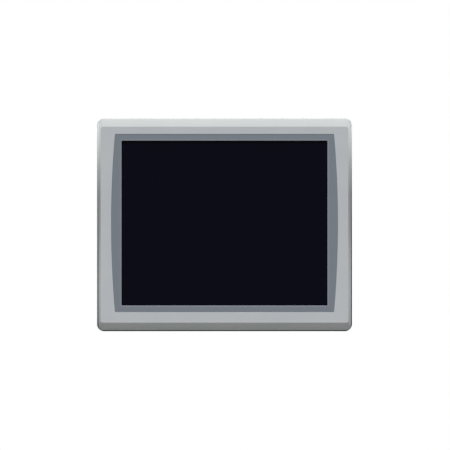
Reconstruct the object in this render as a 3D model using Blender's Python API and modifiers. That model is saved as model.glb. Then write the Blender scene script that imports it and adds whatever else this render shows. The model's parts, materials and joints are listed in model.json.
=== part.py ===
# HMI touch panel for mounting in a cabinet cut-out.
#
# Metres, +Z up.  The operator's side faces -Y.  The plane y = 0 is the cabinet panel's
# front face, against which the gasket seals; x = z = 0 is the middle of the cut-out.

import math

import bpy
import bmesh
from mathutils import Matrix, Vector

# Gaps
GAP = 0.0003                  # between two pieces that touch or rest on each other
FIT = 0.0004                  # around a port, door or button in its opening
HOLE_CLEARANCE = 0.0003       # radial, around a screw's shank

# Front bezel
PANEL_WIDTH = 0.381
PANEL_HEIGHT = 0.318
CORNER_RADIUS = 0.0107
RIM_BACK = 0.0005             # the rim's back stays this far in front of y = 0
RIM_EDGE = 0.0016             # height of the upright edge round the outline
FACE_PROUD = 0.0066           # from y = 0 to the front face
SLOPE_SIDE = 0.0058           # width of the sloping border at the left and right
SLOPE_TOP = 0.0128
SLOPE_BOTTOM = 0.0131
FACE_RADIUS = 0.0032

# Screen window, its dark surround and the glass behind it
SIDE_MARGIN = 0.03695         # from the outline to the window
TOP_MARGIN = 0.03355
BOTTOM_MARGIN = 0.03855
SURROUND_BORDER = 0.0098      # above and below the window
SURROUND_SIDE_END = 0.0096    # beside the window, at the corners
SURROUND_SIDE_BOW = 0.0058    # how much wider the surround is at half height
SURROUND_THICKNESS = 0.0012
SURROUND_RECESS = 0.0003      # its face below the bezel's face
GLASS_LAP = 0.0055            # how far the glass reaches behind the surround
GLASS_THICKNESS = 0.0022
SEAL_THICKNESS = 0.0006
SEAL_WIDTH = 0.0045
GLASS_PLAY = 0.0005           # around the glass in the bezel's opening

# Gasket
GASKET_INSET = 0.0045         # from the outline
GASKET_WIDTH = 0.007
GASKET_THICKNESS = 0.002
GASKET_RADIUS = 0.0065

# Housing that passes through the cut-out
OVERHANG = 0.014              # of the bezel past the cut-out's edge
CUTOUT_PLAY = 0.0013          # between the cut-out's edge and the housing
HOUSING_RADIUS = 0.006
HOUSING_DEPTH = 0.038         # behind y = 0
WALL = 0.002
POST_RADIUS = 0.004           # posts on the bezel that take the housing's screws
POST_INSET_X = 0.0252         # from the housing's side to a corner post
POST_INSET_Z = 0.0077
POST_HOLE_DEPTH = 0.010

# Display module
DISPLAY_LAP = 0.0095          # how far the module reaches past the window, at the sides
DISPLAY_LAP_Z = 0.004
DISPLAY_ACTIVE_LAP = 0.0015   # how far the window reaches past the picture, at the sides
DISPLAY_ACTIVE_LAP_Z = 0.0085
DISPLAY_FRONT = 0.0001
DISPLAY_FRAME_SHEET = 0.0008
DISPLAY_FRAME_DEPTH = 0.0078
CELL_INSET = 0.005
CELL_THICKNESS = 0.0016
GUIDE_INSET = 0.008
GUIDE_THICKNESS = 0.0036
LED_BAR_HEIGHT = 0.0025
LED_BAR_THICKNESS = 0.003
BACK_TRAY_THICKNESS = 0.0012
BRACKET_SHEET = 0.0012
BRACKET_TO_WALL = 0.0015      # from the bracket's foot to the housing's side
BRACKET_LAP = 0.010
BRACKET_END_INSET = 0.040     # from the display's top and bottom to the bracket's ends

# Electronics module on the housing's back
MODULE_WIDTH = 0.236
MODULE_TOP_MARGIN = 0.0487    # from the housing's top to the module's top
MODULE_BOTTOM_MARGIN = 0.0437
MODULE_BACK = 0.0636
MODULE_FLANGE = 0.010
MODULE_FLANGE_SHEET = 0.0018
MODULE_RADIUS = 0.003
BOARD_THICKNESS = 0.0016
BOARD_STANDOFF = 0.005
BOARD_INSET = 0.006           # from the module cover's inner faces
STANDOFF_RADIUS = 0.003
STANDOFF_INSET = 0.012

# Screws
SCREW_SHANK_RADIUS = 0.0020
SCREW_HEAD_RADIUS = 0.0040
SCREW_HEAD_HEIGHT = 0.0026
SCREW_LENGTH = 0.008
GROUND_SHANK_RADIUS = 0.0025
GROUND_HEAD_RADIUS = 0.0052
GROUND_HEAD_HEIGHT = 0.0036
GROUND_LENGTH = 0.009
GROUND_INSET_X = 0.034
GROUND_INSET_Z = 0.022

# Mounting levers
LEVER_INSET_X = 0.0702        # from the housing's side to a lever on the top or bottom
LEVER_INSET_Z = 0.0687        # from the housing's top to a lever on a side
PANEL_THICKNESS = 0.003       # cabinet sheet for which the levers stand in their rest place
LEVER_HINGE = 0.014           # from y = 0 to the lever's axis
LEVER_RISE = 0.0015           # how much further the cam reaches at its tightest
LEVER_RISE_ANGLE = 30.0       # degrees of turn for one rise
LEVER_THICKNESS = 0.006
LEVER_ARM_LENGTH = 0.036
LEVER_ARM_WIDTH = 0.009
LEVER_ARM_ANGLE = 40.0        # degrees by which the arm at rest leans away from the panel
LEVER_HUB_RADIUS = 0.0088
LEVER_STUB_RADIUS = 0.0045
LEVER_KEY_LENGTH = 0.0140
LEVER_KEY_WIDTH = 0.0040
LEVER_KEY_THICKNESS = 0.0015
LEVER_KEY_ANGLE = 85.0        # degrees past rest at which the key meets its slot

# Vents
VENT_WIDTH = 0.0024
VENT_PITCH = 0.010
VENT_EDGE = 0.008
VENT_START = 0.012            # from y = 0 to the slots in the housing's top and bottom

# Ports, in a row along the module's lower edge with even gaps between them
PORT_RECESS = 0.0003          # port faces inside the cover's outer face
PORT_ROW_INSET = 0.014        # from the module's sides to the first and last port
ETHERNET_SIZE = (0.0162, 0.0136, 0.0215)
ETHERNET_MOUTH = (0.0120, 0.0084, 0.0130)
ETHERNET_LATCH = (0.0060, 0.0022)
USB_HOST_SIZE = (0.0145, 0.0072, 0.0140)
USB_HOST_MOUTH = (0.0125, 0.0052, 0.0100)
USB_HOST_TONGUE = 0.0018
USB_DEVICE_SIZE = (0.0120, 0.0110, 0.0160)
USB_DEVICE_MOUTH = (0.0085, 0.0078, 0.0090)
USB_DEVICE_TONGUE = (0.0056, 0.0032)
USB_MOUTH_CHAMFER = 0.0018
POWER_HEADER_SIZE = (0.0200, 0.0125, 0.0140)
POWER_WALL = 0.0013
POWER_CAVITY_DEPTH = 0.0090
POWER_NOSE_LENGTH = 0.0080
POWER_PLUG_BODY = (0.0200, 0.0150, 0.0140)
POWER_POLES = 3
POWER_PITCH = 0.00508
POWER_ENTRY = 0.0034
POWER_ENTRY_DEPTH = 0.006
DIP_SIZE = (0.0100, 0.0060, 0.0080)
DIP_FACE = 0.0015             # the switch's face inside the cover's outer face
DIP_PITCH = 0.00254
DIP_CHANNEL = (0.0016, 0.0040, 0.0016)
DIP_SLIDER = (0.0010, 0.0016, 0.0022)
RESET_STEM_RADIUS = 0.0015
RESET_FLANGE_RADIUS = 0.0023
RESET_FLANGE_HEIGHT = 0.0008
RESET_LENGTH = 0.0048
RESET_TRAVEL = 0.0008
RESET_BASE = (0.0060, 0.0060, 0.0043)
LIGHT_RADIUS = 0.0015
LIGHT_LENGTH = 0.010
PORT_MIDDLE_LOW = 0.0048      # middle of the low parts above the board

# Memory card socket and its door, on the module's right side
CARD_MIDDLE_Z = 0.034
CARD_SIZE = (0.0280, 0.0036, 0.0280)
CARD_SLOT = (0.0246, 0.0024, 0.0230)
CARD_TO_DOOR = 0.0008         # from the socket's mouth to the door's inner face
CARD_DOOR = (0.0340, 0.0092)
DOOR_THICKNESS = 0.0016
DOOR_BARREL_RADIUS = 0.0009
DOOR_PIN_RADIUS = 0.00045
DOOR_PIN_LENGTH = 0.0014
DOOR_PIN_PLAY = 0.00025

# Battery, its holder and its door, in the module's back
BATTERY_X = -0.070
BATTERY_Z = -0.030
CELL_RADIUS = 0.010
CELL_HEIGHT = 0.0032
HOLDER_SIZE = (0.0260, 0.0105, 0.0260)
HOLDER_PLAY = 0.0004
BATTERY_DOOR = (0.0360, 0.0340)

# Processor and heat sink
PROCESSOR_X = 0.030
PROCESSOR_Z = 0.020
PROCESSOR_SIZE = (0.027, 0.0020, 0.027)
PAD_SIZE = (0.025, 0.0010, 0.025)
SINK_SIZE = (0.064, 0.0030, 0.060)
SINK_FINS = 9
SINK_FIN_THICKNESS = 0.0012
SINK_TO_COVER = 0.0012

# Ribbon to the display, touch board and its flex
RIBBON_WIDTH = 0.030
RIBBON_THICKNESS = 0.0005
RIBBON_Z = 0.060
RIBBON_TAIL = 0.012
RIBBON_SLOT = (0.036, 0.008)
TOUCH_BOARD_SIZE = (0.070, 0.0016, 0.030)
TOUCH_BOARD_X = 0.090
TOUCH_BOARD_BEHIND = 0.004    # in front of the housing's back
FLEX_WIDTH = 0.014
FLEX_THICKNESS = 0.0004

def spread(widths, left, right):
    """Middle of each named part in a row that fills a span with even gaps."""
    gap = (right - left - sum(widths.values())) / (len(widths) - 1)
    middles = {}
    edge = left
    for name, width in widths.items():
        middles[name] = edge + width / 2
        edge += width + gap
    return middles


# Worked out from the sizes above
HALF_WIDTH = PANEL_WIDTH / 2
HALF_HEIGHT = PANEL_HEIGHT / 2
FACE_Y = -FACE_PROUD
WINDOW_WIDTH = PANEL_WIDTH - 2 * SIDE_MARGIN
WINDOW_HEIGHT = PANEL_HEIGHT - TOP_MARGIN - BOTTOM_MARGIN
WINDOW_Z = (BOTTOM_MARGIN - TOP_MARGIN) / 2
SURROUND_FRONT = FACE_Y + SURROUND_RECESS
SURROUND_BACK = SURROUND_FRONT + SURROUND_THICKNESS
GLASS_WIDTH = WINDOW_WIDTH + 2 * GLASS_LAP
GLASS_HEIGHT = WINDOW_HEIGHT + 2 * GLASS_LAP
SEAL_FRONT = SURROUND_BACK + GAP
GLASS_FRONT = SEAL_FRONT + SEAL_THICKNESS + GAP
GLASS_BACK = GLASS_FRONT + GLASS_THICKNESS
HOUSING_WIDTH = PANEL_WIDTH - 2 * (OVERHANG + CUTOUT_PLAY)
HOUSING_HEIGHT = PANEL_HEIGHT - 2 * (OVERHANG + CUTOUT_PLAY)
HOUSING_FRONT = -RIM_BACK + GAP
DISPLAY_WIDTH = WINDOW_WIDTH + 2 * DISPLAY_LAP
DISPLAY_HEIGHT = WINDOW_HEIGHT + 2 * DISPLAY_LAP_Z
CELL_FRONT = DISPLAY_FRONT + DISPLAY_FRAME_SHEET + GAP
GUIDE_FRONT = CELL_FRONT + CELL_THICKNESS + GAP
TRAY_FRONT = DISPLAY_FRONT + DISPLAY_FRAME_DEPTH + GAP
TRAY_BACK = TRAY_FRONT + BACK_TRAY_THICKNESS
MODULE_FRONT = HOUSING_DEPTH + GAP
MODULE_TOP = HOUSING_HEIGHT / 2 - MODULE_TOP_MARGIN
MODULE_BOTTOM = -HOUSING_HEIGHT / 2 + MODULE_BOTTOM_MARGIN
MODULE_MIDDLE_Z = (MODULE_TOP + MODULE_BOTTOM) / 2
MODULE_HEIGHT = MODULE_TOP - MODULE_BOTTOM
BOARD_FRONT = HOUSING_DEPTH + BOARD_STANDOFF + GAP
BOARD_BACK = BOARD_FRONT + BOARD_THICKNESS
PART_BASE = BOARD_BACK + GAP
COVER_INNER_BACK = MODULE_BACK - WALL
PORT_FACE = MODULE_BOTTOM + PORT_RECESS
PORT_WIDTHS = {
    "power": POWER_HEADER_SIZE[0],
    "ethernet_1": ETHERNET_SIZE[0],
    "ethernet_2": ETHERNET_SIZE[0],
    "usb_host_1": USB_HOST_SIZE[0],
    "usb_host_2": USB_HOST_SIZE[0],
    "usb_device": USB_DEVICE_SIZE[0],
    "dip": DIP_SIZE[0],
    "reset": RESET_BASE[0],
    "light_1": 2 * LIGHT_RADIUS,
    "light_2": 2 * LIGHT_RADIUS,
}
PORT_X = spread(
    PORT_WIDTHS, -MODULE_WIDTH / 2 + PORT_ROW_INSET, MODULE_WIDTH / 2 - PORT_ROW_INSET
)
POWER_X = PORT_X["power"]
ETHERNET_X = (PORT_X["ethernet_1"], PORT_X["ethernet_2"])
USB_HOST_X = (PORT_X["usb_host_1"], PORT_X["usb_host_2"])
USB_DEVICE_X = PORT_X["usb_device"]
DIP_X = PORT_X["dip"]
RESET_X = PORT_X["reset"]
LIGHT_X = (PORT_X["light_1"], PORT_X["light_2"])

PARTS_NAME = "hmi_touch_panel"
CUTTERS_NAME = "cutters"


def clear_scene():
    for item in list(bpy.data.objects):
        bpy.data.objects.remove(item, do_unlink=True)


def new_collection(name):
    collection = bpy.data.collections.new(name)
    bpy.context.scene.collection.children.link(collection)
    return collection


def material(name, colour, roughness, metallic=0.0):
    """A plain surface: colour is linear red, green and blue."""
    if name in bpy.data.materials:
        return bpy.data.materials[name]
    made = bpy.data.materials.new(name)
    made.use_nodes = True
    shader = made.node_tree.nodes["Principled BSDF"]
    shader.inputs["Base Color"].default_value = (*colour, 1.0)
    shader.inputs["Roughness"].default_value = roughness
    shader.inputs["Metallic"].default_value = metallic
    return made


MATERIALS = {
    "bezel_paint": ((0.42, 0.44, 0.45), 0.45, 0.0),
    "surround": ((0.18, 0.20, 0.23), 0.45, 0.0),
    "screen": ((0.005, 0.005, 0.010), 0.12, 0.0),
    "rubber": ((0.02, 0.02, 0.02), 0.85, 0.0),
    "steel": ((0.56, 0.57, 0.58), 0.35, 1.0),
    "housing_paint": ((0.30, 0.31, 0.32), 0.50, 0.0),
    "board": ((0.01, 0.12, 0.05), 0.45, 0.0),
    "dark_plastic": ((0.02, 0.02, 0.02), 0.50, 0.0),
    "green_plastic": ((0.02, 0.22, 0.08), 0.45, 0.0),
    "white_plastic": ((0.75, 0.75, 0.73), 0.45, 0.0),
    "clear_plastic": ((0.80, 0.82, 0.83), 0.10, 0.0),
    "aluminium": ((0.70, 0.71, 0.72), 0.35, 1.0),
    "amber_film": ((0.50, 0.22, 0.03), 0.40, 0.0),
    "pad": ((0.45, 0.50, 0.60), 0.80, 0.0),
}


def link(name, data, collection):
    piece = bpy.data.objects.new(name, data)
    collection.objects.link(piece)
    return piece


def box(name, low, high, collection):
    """A block between two corners, with its origin in its middle."""
    low, high = Vector(low), Vector(high)
    shape = bmesh.new()
    bmesh.ops.create_cube(shape, size=1.0)
    bmesh.ops.scale(shape, vec=high - low, verts=shape.verts)
    mesh = bpy.data.meshes.new(name)
    shape.to_mesh(mesh)
    shape.free()
    piece = link(name, mesh, collection)
    piece.location = (low + high) / 2
    return piece


def rod(name, centre, length, radius, axis, collection, steps=16):
    """A cylinder along X, Y or Z, with its origin in its middle."""
    shape = bmesh.new()
    bmesh.ops.create_cone(
        shape, cap_ends=True, segments=steps, radius1=radius, radius2=radius, depth=length
    )
    mesh = bpy.data.meshes.new(name)
    shape.to_mesh(mesh)
    shape.free()
    mesh.shade_smooth()
    mesh.set_sharp_from_angle(angle=math.radians(40))
    piece = link(name, mesh, collection)
    piece.location = centre
    turns = {"X": (0, math.pi / 2, 0), "Y": (math.pi / 2, 0, 0), "Z": (0, 0, 0)}
    piece.rotation_euler = turns[axis]
    return piece


def evaluated_mesh(piece):
    """The piece's shape with its modifiers, as a mesh of its own, welded."""
    bpy.context.view_layer.update()
    depsgraph = bpy.context.evaluated_depsgraph_get()
    mesh = bpy.data.meshes.new_from_object(piece.evaluated_get(depsgraph))
    shape = bmesh.new()
    shape.from_mesh(mesh)
    bmesh.ops.remove_doubles(shape, verts=shape.verts, dist=1e-6)
    shape.to_mesh(mesh)
    shape.free()
    return mesh


def plate(name, outlines, thickness, collection):
    """A flat piece in the XY plane, centred on z = 0; outlines past the first are holes."""
    curve = bpy.data.curves.new(name, "CURVE")
    curve.dimensions = "2D"
    curve.fill_mode = "BOTH"
    curve.extrude = thickness / 2
    for outline in outlines:
        spline = curve.splines.new("POLY")
        spline.points.add(len(outline) - 1)
        for point, (across, up) in zip(spline.points, outline):
            point.co = (across, up, 0, 1)
        spline.use_cyclic_u = True
    drawn = link(name + "_outline", curve, collection)
    mesh = evaluated_mesh(drawn)
    bpy.data.objects.remove(drawn)
    mesh.name = name
    return link(name, mesh, collection)


def upright_plate(name, outlines, front, back, collection):
    """A flat piece whose outlines are (x, z) and which lies between two values of y."""
    piece = plate(name, outlines, back - front, collection)
    piece.rotation_euler = (math.pi / 2, 0, 0)
    piece.location = (0, (front + back) / 2, 0)
    return piece


def strip(name, outline, left, right, collection):
    """A bent strip: its edge is drawn in (y, z) and it lies between two values of x."""
    piece = plate(name, [outline], right - left, collection)
    piece.rotation_euler = (math.pi / 2, 0, math.pi / 2)
    piece.location = ((left + right) / 2, 0, 0)
    return piece


def post_section(name, outline, bottom, top, collection):
    """An upright bar: its section is drawn in (x, y) and it lies between two values of z."""
    piece = plate(name, [outline], top - bottom, collection)
    piece.location = (0, 0, (bottom + top) / 2)
    return piece


def rounded_rectangle(width, height, radius, middle_up=0.0, steps=4):
    """Corner arcs of a rectangle about (0, middle_up), anticlockwise from the lower right."""
    points = []
    corners = ((1, -1, -90), (1, 1, 0), (-1, 1, 90), (-1, -1, 180))
    for side, level, start in corners:
        centre_x = side * (width / 2 - radius)
        centre_z = level * (height / 2 - radius) + middle_up
        for step in range(steps + 1):
            angle = math.radians(start + 90 * step / steps)
            points.append((centre_x + radius * math.cos(angle), centre_z + radius * math.sin(angle)))
    return points


def bowed_rectangle(width, height, bow, middle_up=0.0, steps=12):
    """Straight top and bottom of one width, and sides that bulge by bow at half height."""
    half = height / 2
    arc_radius = (half * half + bow * bow) / (2 * bow)
    span = math.asin(half / arc_radius)
    right = []
    for step in range(steps + 1):
        angle = -span + 2 * span * step / steps
        reach = width / 2 + bow - arc_radius * (1 - math.cos(angle))
        right.append((reach, middle_up + arc_radius * math.sin(angle)))
    left = [(-across, up) for across, up in reversed(right)]
    return right + left


def turned(name, profile, collection, steps=12):
    """A round piece about Z; the profile is (radius, height) from the top axis down."""
    mesh = bpy.data.meshes.new(name)
    corners = [(radius, 0, height) for radius, height in profile]
    mesh.from_pydata(corners, [(i, i + 1) for i in range(len(corners) - 1)], [])
    piece = link(name, mesh, collection)
    spin = piece.modifiers.new("Turn", "SCREW")
    spin.steps = steps
    spin.render_steps = steps
    spin.use_merge_vertices = True
    spin.merge_threshold = 0.00001
    return piece


def hide_cutter(cutter):
    cutter.hide_render = True
    cutter.display_type = "WIRE"
    for user in list(cutter.users_collection):
        user.objects.unlink(cutter)
    bpy.data.collections[CUTTERS_NAME].objects.link(cutter)


def cut(piece, cutter):
    change = piece.modifiers.new(cutter.name, "BOOLEAN")
    change.operation = "DIFFERENCE"
    change.object = cutter
    hide_cutter(cutter)


def join(piece, addition):
    change = piece.modifiers.new(addition.name, "BOOLEAN")
    change.operation = "UNION"
    change.object = addition
    hide_cutter(addition)


def repeat(piece, count, step):
    """Copies of a cutter at an even step, which is a vector."""
    row = piece.modifiers.new("Row", "ARRAY")
    row.count = count
    row.use_relative_offset = False
    row.use_constant_offset = True
    row.constant_offset_displace = step


def move_origin(piece, point):
    """Puts the piece's origin at a point, such as its joint's axis, without moving its shape."""
    bpy.context.view_layer.update()
    place = piece.matrix_world.copy()
    piece.data.transform(place)
    piece.rotation_euler = (0, 0, 0)
    piece.data.transform(Matrix.Translation(-Vector(point)))
    piece.location = point


def finish(piece, surface, parent):
    piece.data.materials.clear()
    piece.data.materials.append(material(surface, *MATERIALS[surface]))
    piece.parent = parent


def bake(piece):
    """Replaces the piece's modifiers by their result and removes the cutters they used."""
    tools = [change.object for change in piece.modifiers if change.type == "BOOLEAN"]
    mesh = evaluated_mesh(piece)
    piece.modifiers.clear()
    piece.data = mesh
    for tool in tools:
        bpy.data.objects.remove(tool)


def loft(name, sections, collection):
    """A closed solid through sections of equal point counts; each is (outline, y)."""
    shape = bmesh.new()
    rings = []
    for outline, depth in sections:
        rings.append([shape.verts.new((across, depth, up)) for across, up in outline])
    for near, far in zip(rings, rings[1:]):
        for i in range(len(near)):
            j = (i + 1) % len(near)
            shape.faces.new((near[i], near[j], far[j], far[i]))
    shape.faces.new(list(reversed(rings[0])))
    shape.faces.new(rings[-1])
    bmesh.ops.recalc_face_normals(shape, faces=shape.faces)
    mesh = bpy.data.meshes.new(name)
    shape.to_mesh(mesh)
    shape.free()
    return link(name, mesh, collection)


def post_places():
    """(x, z) of the posts and screws that hold the housing to the bezel."""
    reach = HOUSING_WIDTH / 2 - POST_INSET_X
    level = HOUSING_HEIGHT / 2 - POST_INSET_Z
    return [(x, z) for z in (level, -level) for x in (-reach, 0.0, reach)]


def make_bezel(parts):
    face_height = PANEL_HEIGHT - SLOPE_TOP - SLOPE_BOTTOM
    face_middle = (SLOPE_BOTTOM - SLOPE_TOP) / 2
    outline = rounded_rectangle(PANEL_WIDTH, PANEL_HEIGHT, CORNER_RADIUS, steps=6)
    face = rounded_rectangle(
        PANEL_WIDTH - 2 * SLOPE_SIDE, face_height, FACE_RADIUS, face_middle, steps=6
    )
    rim_front = -RIM_BACK - RIM_EDGE
    bezel = loft(
        "bezel_frame", [(outline, -RIM_BACK), (outline, rim_front), (face, FACE_Y)], parts
    )
    opening = rounded_rectangle(
        GLASS_WIDTH + 2 * GLASS_PLAY, GLASS_HEIGHT + 2 * GLASS_PLAY, 0.002, WINDOW_Z, steps=2
    )
    cut(bezel, upright_plate("glass_opening", [opening], FACE_Y - 0.01, 0.01, parts))
    pocket = surround_outline(GAP)
    cut(bezel, upright_plate("surround_pocket", [pocket], FACE_Y - 0.01, SURROUND_BACK + GAP, parts))
    groove = gasket_outlines(GAP)
    groove_floor = -GASKET_THICKNESS - GAP
    cut(bezel, upright_plate("gasket_groove", groove, groove_floor, 0.01, parts))
    post_end = HOUSING_DEPTH - WALL - GAP
    for index, (x, z) in enumerate(post_places()):
        start = -RIM_BACK - RIM_EDGE / 2
        middle = (x, (start + post_end) / 2, z)
        join(bezel, rod(f"post_{index}", middle, post_end - start, POST_RADIUS, "Y", parts))
    for index, (x, z) in enumerate(post_places()):
        middle = (x, post_end, z)
        radius = SCREW_SHANK_RADIUS + HOLE_CLEARANCE
        cut(bezel, rod(f"post_hole_{index}", middle, 2 * POST_HOLE_DEPTH, radius, "Y", parts, 10))
    return bezel


def surround_outline(play):
    return bowed_rectangle(
        WINDOW_WIDTH + 2 * (SURROUND_SIDE_END + play),
        WINDOW_HEIGHT + 2 * (SURROUND_BORDER + play),
        SURROUND_SIDE_BOW,
        WINDOW_Z,
    )


def gasket_outlines(play):
    """Outer and inner edge of the gasket, or of its groove when there is play."""
    outer_width = PANEL_WIDTH - 2 * GASKET_INSET
    outer_height = PANEL_HEIGHT - 2 * GASKET_INSET
    inner_radius = GASKET_RADIUS - GASKET_WIDTH / 2
    outer = rounded_rectangle(outer_width + 2 * play, outer_height + 2 * play, GASKET_RADIUS + play)
    inner = rounded_rectangle(
        outer_width - 2 * (GASKET_WIDTH + play),
        outer_height - 2 * (GASKET_WIDTH + play),
        inner_radius - play,
    )
    return [outer, inner]


def make_surround(parts):
    window = rounded_rectangle(WINDOW_WIDTH, WINDOW_HEIGHT, 0.0006, WINDOW_Z, steps=1)
    outlines = [surround_outline(0.0), window]
    return upright_plate("overlay_frame", outlines, SURROUND_FRONT, SURROUND_BACK, parts)


def make_seal(parts):
    outer = rounded_rectangle(GLASS_WIDTH, GLASS_HEIGHT, 0.001, WINDOW_Z, steps=1)
    inner = rounded_rectangle(
        GLASS_WIDTH - 2 * SEAL_WIDTH, GLASS_HEIGHT - 2 * SEAL_WIDTH, 0.001, WINDOW_Z, steps=1
    )
    return upright_plate(
        "touch_seal", [outer, inner], SEAL_FRONT, SEAL_FRONT + SEAL_THICKNESS, parts
    )


def make_glass(parts):
    outline = rounded_rectangle(GLASS_WIDTH, GLASS_HEIGHT, 0.001, WINDOW_Z, steps=1)
    return upright_plate("touch_glass", [outline], GLASS_FRONT, GLASS_BACK, parts)


def make_gasket(parts):
    return upright_plate("panel_gasket", gasket_outlines(0.0), -GASKET_THICKNESS, 0.0, parts)


def display_box(name, inset, front, back, parts, inset_bottom=None):
    """A block behind the window, inset from the display module's outline."""
    lower = inset if inset_bottom is None else inset_bottom
    half_width = DISPLAY_WIDTH / 2
    half_height = DISPLAY_HEIGHT / 2
    return box(
        name,
        (-half_width + inset, front, WINDOW_Z - half_height + lower),
        (half_width - inset, back, WINDOW_Z + half_height - inset),
        parts,
    )


def make_display_frame(parts):
    frame_back = DISPLAY_FRONT + DISPLAY_FRAME_DEPTH
    frame = display_box("lcd_frame", 0.0, DISPLAY_FRONT, frame_back, parts)
    sheet_back = DISPLAY_FRONT + DISPLAY_FRAME_SHEET
    inside = display_box("lcd_frame_inside", DISPLAY_FRAME_SHEET, sheet_back, frame_back + 0.01, parts)
    cut(frame, inside)
    half_width = WINDOW_WIDTH / 2 - DISPLAY_ACTIVE_LAP
    half_height = WINDOW_HEIGHT / 2 - DISPLAY_ACTIVE_LAP_Z
    picture = box(
        "lcd_frame_window",
        (-half_width, DISPLAY_FRONT - 0.01, WINDOW_Z - half_height),
        (half_width, sheet_back + 0.001, WINDOW_Z + half_height),
        parts,
    )
    cut(frame, picture)
    return frame


def make_display_inside(parts):
    cell = display_box("lcd_cell", CELL_INSET, CELL_FRONT, CELL_FRONT + CELL_THICKNESS, parts)
    guide_lower = GUIDE_INSET + LED_BAR_HEIGHT + GAP
    guide_back = GUIDE_FRONT + GUIDE_THICKNESS
    guide = display_box("light_guide", GUIDE_INSET, GUIDE_FRONT, guide_back, parts, guide_lower)
    half_width = DISPLAY_WIDTH / 2 - GUIDE_INSET
    bottom = WINDOW_Z - DISPLAY_HEIGHT / 2 + GUIDE_INSET
    bar = box(
        "led_bar",
        (-half_width, GUIDE_FRONT, bottom),
        (half_width, GUIDE_FRONT + LED_BAR_THICKNESS, bottom + LED_BAR_HEIGHT),
        parts,
    )
    tray = display_box("lcd_back_tray", DISPLAY_FRAME_SHEET, TRAY_FRONT, TRAY_BACK, parts)
    return cell, guide, bar, tray


def make_bracket(name, side, parts):
    """A folded strip that clamps the display's side edge against the bezel's back."""
    web = DISPLAY_WIDTH / 2 + GAP
    foot_front = -RIM_BACK + GAP
    flange_front = TRAY_BACK + GAP
    outer = web + BRACKET_SHEET
    foot_end = HOUSING_WIDTH / 2 - WALL - BRACKET_TO_WALL
    section = [
        (foot_end, foot_front),
        (foot_end, foot_front + BRACKET_SHEET),
        (outer, foot_front + BRACKET_SHEET),
        (outer, flange_front + BRACKET_SHEET),
        (web - BRACKET_LAP, flange_front + BRACKET_SHEET),
        (web - BRACKET_LAP, flange_front),
        (web, flange_front),
        (web, foot_front),
    ]
    section = [(side * across, depth) for across, depth in section]
    reach = DISPLAY_HEIGHT / 2 - BRACKET_END_INSET
    return post_section(name, section, WINDOW_Z - reach, WINDOW_Z + reach, parts)


def make_housing(parts):
    outline = rounded_rectangle(HOUSING_WIDTH, HOUSING_HEIGHT, HOUSING_RADIUS)
    inner = rounded_rectangle(HOUSING_WIDTH - 2 * WALL, HOUSING_HEIGHT - 2 * WALL, HOUSING_RADIUS - WALL)
    housing = upright_plate("rear_housing", [outline], HOUSING_FRONT, HOUSING_DEPTH, parts)
    cut(housing, upright_plate("housing_inside", [inner], -0.02, HOUSING_DEPTH - WALL, parts))
    for index, (x, z) in enumerate(standoff_places()):
        start = HOUSING_DEPTH - WALL / 2
        end = HOUSING_DEPTH + BOARD_STANDOFF
        middle = (x, (start + end) / 2, z)
        join(housing, rod(f"standoff_{index}", middle, end - start, STANDOFF_RADIUS, "Y", parts, 10))
    shank_hole = SCREW_SHANK_RADIUS + HOLE_CLEARANCE
    for index, (x, z) in enumerate(post_places() + cover_screw_places()):
        middle = (x, HOUSING_DEPTH, z)
        cut(housing, rod(f"back_hole_{index}", middle, 4 * WALL, shank_hole, "Y", parts, 10))
    ground_x, ground_z = ground_place()
    ground_hole = GROUND_SHANK_RADIUS + HOLE_CLEARANCE
    cut(housing, rod("ground_hole", (ground_x, HOUSING_DEPTH, ground_z), 4 * WALL, ground_hole, "Y", parts, 10))
    for name, turn, place in lever_places():
        cut(housing, lever_hole(name, turn, place, parts))
    slot_x, slot_z = RIBBON_SLOT[0] / 2, RIBBON_SLOT[1] / 2
    ribbon_bend = RIBBON_Z - RIBBON_TAIL
    slot = box(
        "ribbon_slot",
        (-slot_x, HOUSING_DEPTH - 2 * WALL, ribbon_bend - slot_z),
        (slot_x, HOUSING_DEPTH + WALL, ribbon_bend + slot_z),
        parts,
    )
    cut(housing, slot)
    cut_housing_vents(housing, parts)
    return housing


def cut_housing_vents(housing, parts):
    """Slots in the top and bottom walls, and in the back above the electronics module."""
    clear = HOUSING_WIDTH / 2 - LEVER_INSET_X - LEVER_KEY_LENGTH - VENT_EDGE
    count = 2 * int(clear / VENT_PITCH) + 1
    first = -VENT_PITCH * (count - 1) / 2
    for name, level in (("top_vent", 1), ("bottom_vent", -1)):
        wall_middle = level * (HOUSING_HEIGHT / 2 - WALL / 2)
        slot = box(
            name,
            (first - VENT_WIDTH / 2, VENT_START, wall_middle - WALL),
            (first + VENT_WIDTH / 2, HOUSING_DEPTH - VENT_EDGE, wall_middle + WALL),
            parts,
        )
        repeat(slot, count, (VENT_PITCH, 0, 0))
        cut(housing, slot)
    back_low = MODULE_TOP + VENT_EDGE
    back_high = HOUSING_HEIGHT / 2 - 2 * POST_INSET_Z - VENT_EDGE / 2
    slot = box(
        "back_vent",
        (first - VENT_WIDTH / 2, HOUSING_DEPTH - 2 * WALL, back_low),
        (first + VENT_WIDTH / 2, HOUSING_DEPTH + WALL, back_high),
        parts,
    )
    repeat(slot, count, (VENT_PITCH, 0, 0))
    cut(housing, slot)


def ground_place():
    return -HOUSING_WIDTH / 2 + GROUND_INSET_X, -HOUSING_HEIGHT / 2 + GROUND_INSET_Z


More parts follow.
